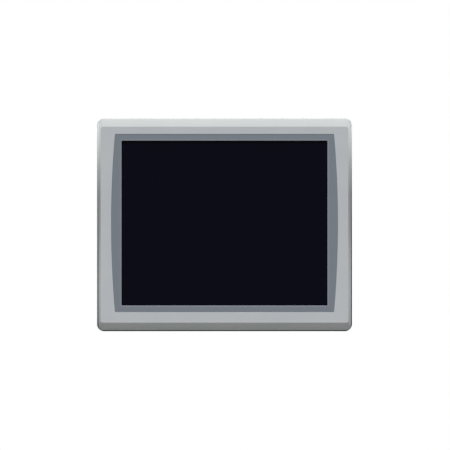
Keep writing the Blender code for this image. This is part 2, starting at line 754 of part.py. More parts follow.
def lever_places():
    """(name, turn about Y in degrees, hinge point on the housing's outer face)."""
    half_width, half_height = HOUSING_WIDTH / 2, HOUSING_HEIGHT / 2
    along_x = half_width - LEVER_INSET_X
    along_z = half_height - LEVER_INSET_Z
    return [
        ("mounting_lever_top_left", 0, (-along_x, LEVER_HINGE, half_height)),
        ("mounting_lever_top_right", 0, (along_x, LEVER_HINGE, half_height)),
        ("mounting_lever_right_upper", 90, (half_width, LEVER_HINGE, along_z)),
        ("mounting_lever_right_lower", 90, (half_width, LEVER_HINGE, -along_z)),
        ("mounting_lever_bottom_right", 180, (along_x, LEVER_HINGE, -half_height)),
        ("mounting_lever_bottom_left", 180, (-along_x, LEVER_HINGE, -half_height)),
        ("mounting_lever_left_lower", 270, (-half_width, LEVER_HINGE, -along_z)),
        ("mounting_lever_left_upper", 270, (-half_width, LEVER_HINGE, along_z)),
    ]


def key_bar(name, length, width, low, high, parts):
    """A bar across the lever's axis, at the angle at which it passes its slot."""
    return box(name, (-length / 2, -width / 2, low), (length / 2, width / 2, high), parts)


def lever_hole(name, turn, place, parts):
    """The round hole with two notches that takes a lever's stub and key."""
    radius = LEVER_STUB_RADIUS + HOLE_CLEARANCE
    hole = rod(name + "_hole", (0, 0, 0), 4 * WALL, radius, "Z", parts, 16)
    length = LEVER_KEY_LENGTH + 2 * FIT
    width = LEVER_KEY_WIDTH + 2 * FIT
    notch = key_bar(name + "_notch", length, width, -2 * WALL, 2 * WALL, parts)
    notch.rotation_euler = (0, 0, math.radians(LEVER_KEY_ANGLE))
    join(hole, notch)
    bake(hole)
    hole.rotation_euler = (0, math.radians(turn), 0)
    hole.location = place
    return hole


def cam_radius(release):
    """The cam's reach towards the panel when the lever is turned by release degrees."""
    rest = LEVER_HINGE - PANEL_THICKNESS
    if release < -LEVER_RISE_ANGLE:
        release = -LEVER_RISE_ANGLE
    return max(rest - LEVER_RISE * release / LEVER_RISE_ANGLE, LEVER_HUB_RADIUS)


def lever_outline():
    """Snail cam and arm, drawn about the hinge with the arm along +X."""
    half = LEVER_ARM_WIDTH / 2
    tip = LEVER_ARM_LENGTH - half
    lower_start = math.degrees(math.asin(half / cam_radius(-LEVER_RISE_ANGLE)))
    upper_end = 360 - math.degrees(math.asin(half / LEVER_HUB_RADIUS))
    cam_steps = 22
    points = []
    for step in range(cam_steps + 1):
        below = lower_start + (upper_end - lower_start) * step / cam_steps
        reach = cam_radius(below - 90 - LEVER_ARM_ANGLE)
        angle = math.radians(-below)
        points.append((reach * math.cos(angle), reach * math.sin(angle)))
    for step in range(5):
        angle = math.radians(90 - 45 * step)
        points.append((tip + half * math.cos(angle), half * math.sin(angle)))
    return points


def lever_mesh(parts):
    """Cam and arm outside the wall, a stub through it, and a key bar behind it."""
    cam = plate("lever", [lever_outline()], LEVER_THICKNESS, parts)
    cam.location = (0, 0, FIT + LEVER_THICKNESS / 2)
    cam.rotation_euler = (0, 0, math.radians(LEVER_ARM_ANGLE))
    key_top = -WALL - FIT
    key_bottom = key_top - LEVER_KEY_THICKNESS
    stub_top = FIT + LEVER_THICKNESS / 2
    middle = (0, 0, (stub_top + key_bottom) / 2)
    join(cam, rod("lever_stub", middle, stub_top - key_bottom, LEVER_STUB_RADIUS, "Z", parts, 16))
    join(cam, key_bar("lever_key", LEVER_KEY_LENGTH, LEVER_KEY_WIDTH, key_bottom, key_top, parts))
    bake(cam)
    move_origin(cam, (0, 0, 0))
    mesh = cam.data
    bpy.data.objects.remove(cam)
    return mesh


def make_levers(parts):
    mesh = lever_mesh(parts)
    levers = []
    for name, turn, place in lever_places():
        lever = link(name, mesh, parts)
        lever.rotation_euler = (0, math.radians(turn), 0)
        lever.location = place
        levers.append(lever)
    return levers


def screw_mesh(shank_radius, head_radius, head_height, length, parts):
    """A pan-head screw: the head's underside is at z = 0 and the shank runs down."""
    profile = [
        (0.0, head_height),
        (0.7 * head_radius, head_height),
        (head_radius, 0.55 * head_height),
        (head_radius, 0.0),
        (shank_radius, 0.0),
        (shank_radius, -length + shank_radius / 2),
        (shank_radius / 2, -length),
        (0.0, -length),
    ]
    piece = turned("screw", profile, parts)
    mesh = evaluated_mesh(piece)
    mesh.shade_smooth()
    mesh.set_sharp_from_angle(angle=math.radians(40))
    bpy.data.objects.remove(piece)
    return mesh


def make_screws(names, mesh, places, seat, parts):
    """Screws along Y whose heads sit on the plane y = seat."""
    screws = []
    for name, (x, z) in zip(names, places):
        screw = link(name, mesh, parts)
        screw.rotation_euler = (-math.pi / 2, 0, 0)
        screw.location = (x, seat + GAP, z)
        screws.append(screw)
    return screws


def cover_screw_places():
    reach = MODULE_WIDTH / 2 + MODULE_FLANGE / 2
    low = MODULE_BOTTOM + 2 * MODULE_FLANGE
    high = MODULE_TOP - 2 * MODULE_FLANGE
    return [(x, z) for z in (high, low) for x in (-reach, reach)]


def standoff_places():
    half_width, low, high = board_edges()
    reach = half_width - STANDOFF_INSET
    return [(x, z) for z in (high - STANDOFF_INSET, low + 4 * STANDOFF_INSET) for x in (-reach, reach)]


def board_edges():
    """Half width, bottom and top of the main board."""
    half_width = MODULE_WIDTH / 2 - WALL - BOARD_INSET
    return half_width, MODULE_BOTTOM + WALL + GAP, MODULE_TOP - WALL - BOARD_INSET


def make_cover(parts):
    half = MODULE_WIDTH / 2
    outline = rounded_rectangle(MODULE_WIDTH, MODULE_HEIGHT, MODULE_RADIUS, MODULE_MIDDLE_Z, 2)
    cover = upright_plate("module_cover", [outline], MODULE_FRONT, MODULE_BACK, parts)
    flange_back = MODULE_FRONT + MODULE_FLANGE_SHEET
    flange_inset = MODULE_FLANGE
    flange = box(
        "cover_flange",
        (-half - MODULE_FLANGE, MODULE_FRONT, MODULE_BOTTOM + flange_inset),
        (half + MODULE_FLANGE, flange_back, MODULE_TOP - flange_inset),
        parts,
    )
    join(cover, flange)
    inside = box(
        "cover_inside",
        (-half + WALL, 0.0, MODULE_BOTTOM + WALL),
        (half - WALL, COVER_INNER_BACK, MODULE_TOP - WALL),
        parts,
    )
    cut(cover, inside)
    shank_hole = SCREW_SHANK_RADIUS + HOLE_CLEARANCE
    for index, (x, z) in enumerate(cover_screw_places()):
        middle = (x, flange_back, z)
        cut(cover, rod(f"flange_hole_{index}", middle, 4 * WALL, shank_hole, "Y", parts, 10))
    cut_port_openings(cover, parts)
    cut_door_opening(cover, "card_door", card_door_box(FIT), parts)
    cut_door_opening(cover, "battery_door", battery_door_box(FIT), parts)
    cut_pin_holes(cover, parts)
    cut_cover_vents(cover, parts)
    return cover


def port_box(x, size, face=None):
    """Low and high corners of a part that stands on the board with its mouth downwards."""
    face = PORT_FACE if face is None else face
    width, height, depth = size
    return (x - width / 2, PART_BASE, face), (x + width / 2, PART_BASE + height, face + depth)


def cut_port_openings(cover, parts):
    sizes = [("power", POWER_X, POWER_HEADER_SIZE)]
    sizes += [(f"ethernet_{i}", x, ETHERNET_SIZE) for i, x in enumerate(ETHERNET_X)]
    sizes += [(f"usb_host_{i}", x, USB_HOST_SIZE) for i, x in enumerate(USB_HOST_X)]
    sizes += [("usb_device", USB_DEVICE_X, USB_DEVICE_SIZE), ("dip", DIP_X, DIP_SIZE)]
    for name, x, size in sizes:
        low, high = port_box(x, size)
        opening = box(
            name + "_opening",
            (low[0] - FIT, low[1] - FIT, MODULE_BOTTOM - WALL),
            (high[0] + FIT, high[1] + FIT, MODULE_BOTTOM + 2 * WALL),
            parts,
        )
        cut(cover, opening)
    low_part = PART_BASE + PORT_MIDDLE_LOW
    for index, x in enumerate(LIGHT_X):
        radius = LIGHT_RADIUS + FIT
        cut(cover, rod(f"light_hole_{index}", (x, low_part, MODULE_BOTTOM), 6 * WALL, radius, "Z", parts, 10))
    stem_hole = RESET_STEM_RADIUS + FIT
    cut(cover, rod("reset_hole", (RESET_X, low_part, MODULE_BOTTOM), 6 * WALL, stem_hole, "Z", parts, 12))


def card_door_box(play):
    """Corners of the card door in the module's right wall, or of its opening with play."""
    half = MODULE_WIDTH / 2
    length, height = CARD_DOOR
    back = PART_BASE + CARD_SIZE[1] / 2 + height / 2
    return (
        (half - DOOR_THICKNESS - play, back - height - play, CARD_MIDDLE_Z - length / 2 - play),
        (half + play, back + play, CARD_MIDDLE_Z + length / 2 + play),
    )


def battery_door_box(play):
    """Corners of the battery door in the module's back, or of its opening with play."""
    width, height = BATTERY_DOOR
    return (
        (BATTERY_X - width / 2 - play, MODULE_BACK - DOOR_THICKNESS - play, BATTERY_Z - height / 2 - play),
        (BATTERY_X + width / 2 + play, MODULE_BACK + play, BATTERY_Z + height / 2 + play),
    )


def cut_door_opening(cover, name, corners, parts):
    """A door's opening goes through the whole wall."""
    low, high = Vector(corners[0]), Vector(corners[1])
    spread = high - low
    axis = min(range(3), key=lambda i: spread[i])
    low[axis] -= WALL
    high[axis] += WALL
    cut(cover, box(name + "_opening", low, high, parts))


def card_hinge():
    """A point on the card door's axis, which runs along Z at the door's rear edge."""
    low, high = card_door_box(0.0)
    return Vector((high[0] - DOOR_THICKNESS / 2, high[1] - DOOR_BARREL_RADIUS, CARD_MIDDLE_Z))


def battery_hinge():
    """A point on the battery door's axis, which runs along X at the door's lower edge."""
    low, high = battery_door_box(0.0)
    return Vector((BATTERY_X, high[1] - DOOR_THICKNESS / 2, low[2] + DOOR_BARREL_RADIUS))


def cut_pin_holes(cover, parts):
    radius = DOOR_PIN_RADIUS + DOOR_PIN_PLAY
    length = CARD_DOOR[0] + 2 * (DOOR_PIN_LENGTH + FIT)
    cut(cover, rod("card_pin_hole", card_hinge(), length, radius, "Z", parts, 8))
    length = BATTERY_DOOR[0] + 2 * (DOOR_PIN_LENGTH + FIT)
    cut(cover, rod("battery_pin_hole", battery_hinge(), length, radius, "X", parts, 8))


def cut_cover_vents(cover, parts):
    """Slots over the heat sink, in the back and in the top wall."""
    count = int(SINK_SIZE[0] / VENT_PITCH) + 1
    first = PROCESSOR_X - VENT_PITCH * (count - 1) / 2
    reach = SINK_SIZE[2] / 2 - VENT_EDGE / 2
    slot = box(
        "cover_back_vent",
        (first - VENT_WIDTH / 2, MODULE_BACK - 2 * WALL, PROCESSOR_Z - reach),
        (first + VENT_WIDTH / 2, MODULE_BACK + WALL, PROCESSOR_Z + reach),
        parts,
    )
    repeat(slot, count, (VENT_PITCH, 0, 0))
    cut(cover, slot)
    top_count = 2 * int((MODULE_WIDTH / 2 - 2 * VENT_EDGE) / VENT_PITCH) + 1
    top_first = -VENT_PITCH * (top_count - 1) / 2
    slot = box(
        "cover_top_vent",
        (top_first - VENT_WIDTH / 2, BOARD_BACK, MODULE_TOP - 2 * WALL),
        (top_first + VENT_WIDTH / 2, COVER_INNER_BACK - VENT_EDGE / 2, MODULE_TOP + WALL),
        parts,
    )
    repeat(slot, top_count, (VENT_PITCH, 0, 0))
    cut(cover, slot)


def make_door(name, corners, hinge, axis, parts):
    """A flat door with a barrel along its hinge edge and a pin at each end."""
    low, high = Vector(corners[0]), Vector(corners[1])
    along = "XYZ".index(axis)
    door = box(name, low, high, parts)
    length = high[along] - low[along]
    round_edge = rod(name + "_barrel", hinge, length, DOOR_BARREL_RADIUS, axis, parts, 12)
    join(door, round_edge)
    pin = rod(name + "_pin", hinge, length + 2 * DOOR_PIN_LENGTH, DOOR_PIN_RADIUS, axis, parts, 8)
    join(door, pin)
    return door


def make_card_door(parts):
    low, high = (Vector(corner) for corner in card_door_box(0.0))
    hinge = card_hinge()
    high[1] = hinge.y
    door = make_door("sd_door", (low, high), hinge, "Z", parts)
    bake(door)
    move_origin(door, hinge)
    return door


def make_battery_door(parts):
    low, high = (Vector(corner) for corner in battery_door_box(0.0))
    hinge = battery_hinge()
    low[2] = hinge.z
    door = make_door("battery_door", (low, high), hinge, "X", parts)
    bake(door)
    move_origin(door, hinge)
    return door


def make_board(parts):
    half_width, low, high = board_edges()
    return box("main_board", (-half_width, BOARD_FRONT, low), (half_width, BOARD_BACK, high), parts)


def mouth(name, x, size, opening, parts):
    """A rectangular mouth in a port's lower face, centred on it."""
    width, height, depth = opening
    middle = PART_BASE + size[1] / 2
    return box(
        name,
        (x - width / 2, middle - height / 2, PORT_FACE - 0.001),
        (x + width / 2, middle + height / 2, PORT_FACE + depth),
        parts,
    )


def make_ethernet(index, x, parts):
    name = f"ethernet_jack_{index + 1}"
    jack = box(name, *port_box(x, ETHERNET_SIZE), parts)
    cut(jack, mouth(name + "_mouth", x, ETHERNET_SIZE, ETHERNET_MOUTH, parts))
    width, rise = ETHERNET_LATCH
    wall_top = PART_BASE + (ETHERNET_SIZE[1] + ETHERNET_MOUTH[1]) / 2
    latch = box(
        name + "_latch",
        (x - width / 2, wall_top - 0.001, PORT_FACE - 0.001),
        (x + width / 2, wall_top + rise, PORT_FACE + ETHERNET_MOUTH[2]),
        parts,
    )
    cut(jack, latch)
    return jack


def make_usb_host(index, x, parts):
    name = f"usb_host_port_{index + 1}"
    port = box(name, *port_box(x, USB_HOST_SIZE), parts)
    width, height, depth = USB_HOST_MOUTH
    middle = PART_BASE + USB_HOST_SIZE[1] / 2
    low_y, high_y = middle - height / 2, middle + height / 2
    tongue = low_y + 0.0006 + USB_HOST_TONGUE
    section = [
        (x - width / 2, low_y),
        (x + width / 2, low_y),
        (x + width / 2, high_y),
        (x - width / 2, high_y),
    ]
    hollow = post_section(name + "_mouth", section, PORT_FACE - 0.001, PORT_FACE + depth, parts)
    spare = box(
        name + "_tongue",
        (x - width / 2 + 0.0006, low_y + 0.0006, PORT_FACE + 0.0008),
        (x + width / 2 - 0.0006, tongue, PORT_FACE + depth + 0.001),
        parts,
    )
    cut(hollow, spare)
    cut(port, hollow)
    return port


def make_usb_device(parts):
    name = "usb_device_port"
    port = box(name, *port_box(USB_DEVICE_X, USB_DEVICE_SIZE), parts)
    width, height, depth = USB_DEVICE_MOUTH
    middle = PART_BASE + USB_DEVICE_SIZE[1] / 2
    half, low_y, high_y = width / 2, middle - height / 2, middle + height / 2
    section = [
        (USB_DEVICE_X - half, low_y),
        (USB_DEVICE_X + half, low_y),
        (USB_DEVICE_X + half, high_y - USB_MOUTH_CHAMFER),
        (USB_DEVICE_X + half - USB_MOUTH_CHAMFER, high_y),
        (USB_DEVICE_X - half + USB_MOUTH_CHAMFER, high_y),
        (USB_DEVICE_X - half, high_y - USB_MOUTH_CHAMFER),
    ]
    hollow = post_section(name + "_mouth", section, PORT_FACE - 0.001, PORT_FACE + depth, parts)
    tongue_x, tongue_y = USB_DEVICE_TONGUE[0] / 2, USB_DEVICE_TONGUE[1] / 2
    spare = box(
        name + "_tongue",
        (USB_DEVICE_X - tongue_x, middle - tongue_y, PORT_FACE + 0.0008),
        (USB_DEVICE_X + tongue_x, middle + tongue_y, PORT_FACE + depth + 0.001),
        parts,
    )
    cut(hollow, spare)
    cut(port, hollow)
    return port


def power_cavity():
    """Corners of the hollow in the power header."""
    low, high = port_box(POWER_X, POWER_HEADER_SIZE)
    return (
        (low[0] + POWER_WALL, low[1] + POWER_WALL, PORT_FACE),
        (high[0] - POWER_WALL, high[1] - POWER_WALL, PORT_FACE + POWER_CAVITY_DEPTH),
    )


def make_power_header(parts):
    header = box("power_header", *port_box(POWER_X, POWER_HEADER_SIZE), parts)
    low, high = power_cavity()
    cut(header, box("power_cavity", (low[0], low[1], low[2] - 0.001), high, parts))
    return header


def make_power_plug(parts):
    """Terminal plug: a nose in the header, and a body below with a square entry per wire."""
    low, high = power_cavity()
    width, height, length = POWER_PLUG_BODY
    middle_y = (low[1] + high[1]) / 2
    top = MODULE_BOTTOM - GAP
    plug = box(
        "power_plug",
        (POWER_X - width / 2, middle_y - height / 2, top - length),
        (POWER_X + width / 2, middle_y + height / 2, top),
        parts,
    )
    nose = box(
        "power_nose",
        (low[0] + GAP, low[1] + GAP, top - 0.001),
        (high[0] - GAP, high[1] - GAP, low[2] + POWER_NOSE_LENGTH),
        parts,
    )
    join(plug, nose)
    first = POWER_X - POWER_PITCH * (POWER_POLES - 1) / 2
    half = POWER_ENTRY / 2
    entry = box(
        "wire_entry",
        (first - half, middle_y - height / 4 - half, top - length - 0.001),
        (first + half, middle_y - height / 4 + half, top - length + POWER_ENTRY_DEPTH),
        parts,
    )
    repeat(entry, POWER_POLES, (POWER_PITCH, 0, 0))
    cut(plug, entry)
    return plug


def make_dip_switch(parts):
    face = MODULE_BOTTOM + DIP_FACE
    low, high = port_box(DIP_X, DIP_SIZE, face)
    base = box("dip_switch_base", low, high, parts)
    middle_y = (low[1] + high[1]) / 2
    sliders = []
    for index, side in enumerate((-1, 1)):
        x = DIP_X + side * DIP_PITCH
        width, travel, depth = DIP_CHANNEL
        channel = box(
            f"dip_channel_{index}",
            (x - width / 2, middle_y - travel / 2, face - 0.001),
            (x + width / 2, middle_y + travel / 2, face + depth),
            parts,
        )
        cut(base, channel)
        wide, long, tall = DIP_SLIDER
        start = middle_y - travel / 2 + GAP
        root = face + depth - GAP
        slider = box(
            f"dip_slider_{index + 1}",
            (x - wide / 2, start, root - tall),
            (x + wide / 2, start + long, root),
            parts,
        )
        sliders.append(slider)
    return base, sliders


def make_reset(parts):
    """A recessed push button on a small switch; pressed, it moves up by its travel."""
    y = PART_BASE + PORT_MIDDLE_LOW
    stem_low = PORT_FACE
    stem_high = stem_low + RESET_LENGTH
    button = rod(
        "reset_button", (RESET_X, y, (stem_low + stem_high) / 2), RESET_LENGTH,
        RESET_STEM_RADIUS, "Z", parts, 12,
    )
    flange_middle = MODULE_BOTTOM + WALL + GAP + RESET_FLANGE_HEIGHT / 2
    flange = rod(
        "reset_flange", (RESET_X, y, flange_middle), RESET_FLANGE_HEIGHT,
        RESET_FLANGE_RADIUS, "Z", parts, 12,
    )
    join(button, flange)
    bake(button)
    width, height, depth = RESET_BASE
    base_low = stem_high + RESET_TRAVEL + GAP
    base = box(
        "reset_switch",
        (RESET_X - width / 2, PART_BASE, base_low),
        (RESET_X + width / 2, PART_BASE + height + PORT_MIDDLE_LOW - height / 2, base_low + depth),
        parts,
    )
    return button, base


def make_lights(parts):
    y = PART_BASE + PORT_MIDDLE_LOW
    middle_z = PORT_FACE + LIGHT_LENGTH / 2
    return [
        rod(f"light_pipe_{i + 1}", (x, y, middle_z), LIGHT_LENGTH, LIGHT_RADIUS, "Z", parts, 12)
        for i, x in enumerate(LIGHT_X)
    ]


def make_card_socket(parts):
    """A flat socket on the board's edge, its slot towards the door."""
    depth, height, width = CARD_SIZE
    mouth_x = MODULE_WIDTH / 2 - DOOR_THICKNESS - CARD_TO_DOOR
    socket = box(
        "sd_card_socket",
        (mouth_x - depth, PART_BASE, CARD_MIDDLE_Z - width / 2),
        (mouth_x, PART_BASE + height, CARD_MIDDLE_Z + width / 2),
        parts,
    )
    slot_width, slot_height, slot_depth = CARD_SLOT
    middle_y = PART_BASE + height / 2
    slot = box(
        "card_slot",
        (mouth_x - slot_depth, middle_y - slot_height / 2, CARD_MIDDLE_Z - slot_width / 2),
        (mouth_x + 0.001, middle_y + slot_height / 2, CARD_MIDDLE_Z + slot_width / 2),
        parts,
    )
    cut(socket, slot)
    return socket


def make_battery(parts):
    width, height, depth = HOLDER_SIZE
    holder = box(
        "battery_holder",
        (BATTERY_X - width / 2, PART_BASE, BATTERY_Z - depth / 2),
        (BATTERY_X + width / 2, PART_BASE + height, BATTERY_Z + depth / 2),
        parts,
    )
    rim = PART_BASE + height
    floor = rim - CELL_HEIGHT - GAP
    recess = rod(
        "cell_recess", (BATTERY_X, (floor + rim + WALL) / 2, BATTERY_Z), rim + WALL - floor,
        CELL_RADIUS + HOLDER_PLAY, "Y", parts, 24,
    )
    cut(holder, recess)
    cell_middle = floor + GAP + CELL_HEIGHT / 2
    cell = rod(
        "battery_cell", (BATTERY_X, cell_middle, BATTERY_Z), CELL_HEIGHT, CELL_RADIUS, "Y", parts, 24
    )
    return holder, cell


def make_heat_path(parts):
    """Processor, thermal pad and finned heat sink, stacked on the board."""
    stack = PART_BASE
    pieces = []
    for name, size in (("processor", PROCESSOR_SIZE), ("thermal_pad", PAD_SIZE)):
        width, height, depth = size
        pieces.append(box(
            name,
            (PROCESSOR_X - width / 2, stack, PROCESSOR_Z - depth / 2),
            (PROCESSOR_X + width / 2, stack + height, PROCESSOR_Z + depth / 2),
            parts,
        ))
        stack += height + GAP
    width, base, depth = SINK_SIZE
    sink = box(
        "heat_sink",
        (PROCESSOR_X - width / 2, stack, PROCESSOR_Z - depth / 2),
        (PROCESSOR_X + width / 2, COVER_INNER_BACK - SINK_TO_COVER, PROCESSOR_Z + depth / 2),
        parts,
    )
    pitch = (width - SINK_FIN_THICKNESS) / (SINK_FINS - 1)
    left = PROCESSOR_X - width / 2 + SINK_FIN_THICKNESS
    channel = box(
        "fin_gap",
        (left, stack + base, PROCESSOR_Z - depth),
        (left + pitch - SINK_FIN_THICKNESS, COVER_INNER_BACK + WALL, PROCESSOR_Z + depth),
        parts,
    )
    repeat(channel, SINK_FINS - 1, (pitch, 0, 0))
    cut(sink, channel)
    return pieces + [sink]


def bent_strip(path, thickness):
    """The closed edge of a strip whose middle runs along a path of right-angled bends."""
    half = thickness / 2
    near, far = [], []
    for index, (y, z) in enumerate(path):
        steps = []
        if index > 0:
            steps.append((y - path[index - 1][0], z - path[index - 1][1]))
        if index < len(path) - 1:
            steps.append((path[index + 1][0] - y, path[index + 1][1] - z))
        shift_y = shift_z = 0.0
        for run_y, run_z in steps:
            size = math.hypot(run_y, run_z)
            if abs(run_z) > abs(run_y):
                shift_y = -half * run_z / size
            else:
                shift_z = half * run_y / size
        near.append((y + shift_y, z + shift_z))
        far.append((y - shift_y, z - shift_z))
    return near + far[::-1]


def make_ribbon(parts):
    """Flat cable from the display's back to the main board's front."""
    half = RIBBON_THICKNESS / 2
    start_y = TRAY_BACK + GAP + half
    end_y = BOARD_FRONT - GAP - half
    bend_z = RIBBON_Z - RIBBON_TAIL
    path = [
        (start_y, RIBBON_Z),
        (start_y, bend_z),
        (end_y, bend_z),
        (end_y, bend_z - RIBBON_TAIL),
    ]
    outline = bent_strip(path, RIBBON_THICKNESS)
    return strip("display_ribbon", outline, -RIBBON_WIDTH / 2, RIBBON_WIDTH / 2, parts)


def make_touch_board(parts):
    width, thickness, height = TOUCH_BOARD_SIZE
    back = HOUSING_DEPTH - WALL - TOUCH_BOARD_BEHIND
    bottom = WINDOW_Z - DISPLAY_HEIGHT / 2
    return box(
        "touch_controller_board",
        (TOUCH_BOARD_X - width / 2, back - thickness, bottom),
        (TOUCH_BOARD_X + width / 2, back, bottom + height),
        parts,
    )


def make_touch_flex(parts):
    """Tail from behind the glass's lower edge, round the display, to the touch board."""
    half = FLEX_THICKNESS / 2
    start_y = GLASS_BACK + GAP + half
    drop_z = WINDOW_Z - DISPLAY_HEIGHT / 2 - GAP - half
    board_front = HOUSING_DEPTH - WALL - TOUCH_BOARD_BEHIND - TOUCH_BOARD_SIZE[1]
    end_y = board_front - GAP - half
    path = [
        (start_y, drop_z + 0.004),
        (start_y, drop_z),
        (end_y, drop_z),
        (end_y, drop_z + 0.015),
    ]
    outline = bent_strip(path, FLEX_THICKNESS)
    left = TOUCH_BOARD_X - FLEX_WIDTH / 2
    return strip("touch_flex", outline, left, left + FLEX_WIDTH, parts)


def main():
    clear_scene()
    parts = new_collection(PARTS_NAME)
    new_collection(CUTTERS_NAME)
    root = link("panel_frame", None, parts)

    finish(make_bezel(parts), "bezel_paint", root)
    finish(make_surround(parts), "surround", root)
    finish(make_seal(parts), "rubber", root)
    finish(make_glass(parts), "screen", root)
    finish(make_gasket(parts), "rubber", root)

    finish(make_display_frame(parts), "steel", root)
    cell, guide, bar, tray = make_display_inside(parts)
    finish(cell, "screen", root)
    finish(guide, "clear_plastic", root)
    finish(bar, "white_plastic", root)
    finish(tray, "steel", root)
    for name, side in (("display_bracket_left", -1), ("display_bracket_right", 1)):
        finish(make_bracket(name, side, parts), "steel", root)
    finish(make_ribbon(parts), "amber_film", root)
    finish(make_touch_board(parts), "board", root)
    finish(make_touch_flex(parts), "amber_film", root)

    finish(make_housing(parts), "housing_paint", root)
    finish(make_cover(parts), "housing_paint", root)
    finish(make_board(parts), "board", root)
    processor, pad, sink = make_heat_path(parts)
    finish(processor, "dark_plastic", root)
    finish(pad, "pad", root)
    finish(sink, "aluminium", root)

    finish(make_power_header(parts), "green_plastic", root)
    finish(make_power_plug(parts), "green_plastic", root)
    for index, x in enumerate(ETHERNET_X):
        finish(make_ethernet(index, x, parts), "steel", root)
    for index, x in enumerate(USB_HOST_X):
        finish(make_usb_host(index, x, parts), "steel", root)
    finish(make_usb_device(parts), "steel", root)
    dip_base, dip_sliders = make_dip_switch(parts)
    finish(dip_base, "dark_plastic", root)
    for slider in dip_sliders:
        finish(slider, "white_plastic", root)
    button, switch = make_reset(parts)
    finish(button, "dark_plastic", root)
    finish(switch, "steel", root)
    for light in make_lights(parts):
        finish(light, "clear_plastic", root)

    finish(make_card_socket(parts), "steel", root)
    finish(make_card_door(parts), "dark_plastic", root)
    holder, coin = make_battery(parts)
    finish(holder, "dark_plastic", root)
    finish(coin, "steel", root)
    finish(make_battery_door(parts), "housing_paint", root)

    for lever in make_levers(parts):
        finish(lever, "dark_plastic", root)
    screw = screw_mesh(SCREW_SHANK_RADIUS, SCREW_HEAD_RADIUS, SCREW_HEAD_HEIGHT, SCREW_LENGTH, parts)
    places = post_places()
    names = [f"housing_screw_{i + 1}" for i in range(len(places))]
    for piece in make_screws(names, screw, places, HOUSING_DEPTH, parts):
        finish(piece, "steel", root)
    places = cover_screw_places()
    names = [f"cover_screw_{i + 1}" for i in range(len(places))]
    for piece in make_screws(names, screw, places, MODULE_FRONT + MODULE_FLANGE_SHEET, parts):
        finish(piece, "steel", root)
    ground = screw_mesh(
        GROUND_SHANK_RADIUS, GROUND_HEAD_RADIUS, GROUND_HEAD_HEIGHT, GROUND_LENGTH, parts
    )
    for piece in make_screws(["ground_screw"], ground, [ground_place()], HOUSING_DEPTH, parts):
        finish(piece, "steel", root)


main()
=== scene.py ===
import json
import math
import bmesh
import bpy
from mathutils import Matrix, Vector

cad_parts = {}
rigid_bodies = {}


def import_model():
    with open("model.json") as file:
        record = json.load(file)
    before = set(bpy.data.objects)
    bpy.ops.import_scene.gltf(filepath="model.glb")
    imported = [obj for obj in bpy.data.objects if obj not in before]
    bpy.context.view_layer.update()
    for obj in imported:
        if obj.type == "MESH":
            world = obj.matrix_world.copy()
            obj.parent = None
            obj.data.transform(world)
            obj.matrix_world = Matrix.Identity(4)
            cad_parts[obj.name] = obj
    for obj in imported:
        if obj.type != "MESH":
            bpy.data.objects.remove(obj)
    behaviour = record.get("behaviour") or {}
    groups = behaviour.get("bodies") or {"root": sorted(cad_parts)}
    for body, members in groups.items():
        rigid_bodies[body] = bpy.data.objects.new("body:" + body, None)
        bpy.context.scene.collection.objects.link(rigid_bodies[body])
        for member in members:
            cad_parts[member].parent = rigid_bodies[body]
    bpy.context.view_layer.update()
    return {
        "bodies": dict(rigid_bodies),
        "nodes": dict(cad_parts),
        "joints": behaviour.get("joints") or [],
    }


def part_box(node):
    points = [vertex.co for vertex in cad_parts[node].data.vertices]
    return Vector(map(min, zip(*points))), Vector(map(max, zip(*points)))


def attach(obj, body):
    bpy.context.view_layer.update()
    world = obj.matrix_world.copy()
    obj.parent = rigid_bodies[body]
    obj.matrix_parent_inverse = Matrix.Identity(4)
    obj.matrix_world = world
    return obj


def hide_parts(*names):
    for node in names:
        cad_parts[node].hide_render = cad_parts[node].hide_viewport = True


# HMI touch panel. Metres; the operator's side faces -Y and +Z is up.
# y = 0 is the cabinet sheet's front face; sizes in the dictionaries are millimetres.
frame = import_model()
mm = 0.001
metre = 1000                    # in mm; a pattern's scale is a metre over its size
tiny = 1e-6                     # 0.001 mm: points closer than this are one
print("frame loaded:", len(frame["nodes"]), "nodes")


def boxMm(node):
    # a node's lowest and highest corners in mm
    low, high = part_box(node)
    return low / mm, high / mm


def hexColour(code):
    # sRGB hex to linear red, green, blue and alpha
    parts = [int(code[i:i + 2], 16) / 255 for i in (1, 3, 5)]
    return [p / 12.92 if p <= 0.04045 else ((p + 0.055) / 1.055) ** 2.4 for p in parts] + [1.0]


def addNode(tree, kind, settings=None, values=None, links=None):
    # one node with its settings, input values and incoming links
    node = tree.nodes.new("ShaderNode" + kind)
    for key, value in (settings or {}).items():
        setattr(node, key, value)
    for key, value in (values or {}).items():
        node.inputs[key].default_value = value
    for key, (source, output) in (links or {}).items():
        tree.links.new(source.outputs[output], node.inputs[key])
    return node


def newMaterial(name):
    material = bpy.data.materials.new(name)
    material.use_nodes = True
    tree = material.node_tree
    shader = tree.nodes["Principled BSDF"]
    return material, tree, shader


def feedShader(tree, shader, mix, bump, sheen=None):
    # a material's colour and bumps, and its roughness where that varies
    tree.links.new(mix.outputs[2], shader.inputs["Base Color"])
    tree.links.new(bump.outputs["Normal"], shader.inputs["Normal"])
    if sheen:
        tree.links.new(sheen.outputs["Result"], shader.inputs["Roughness"])


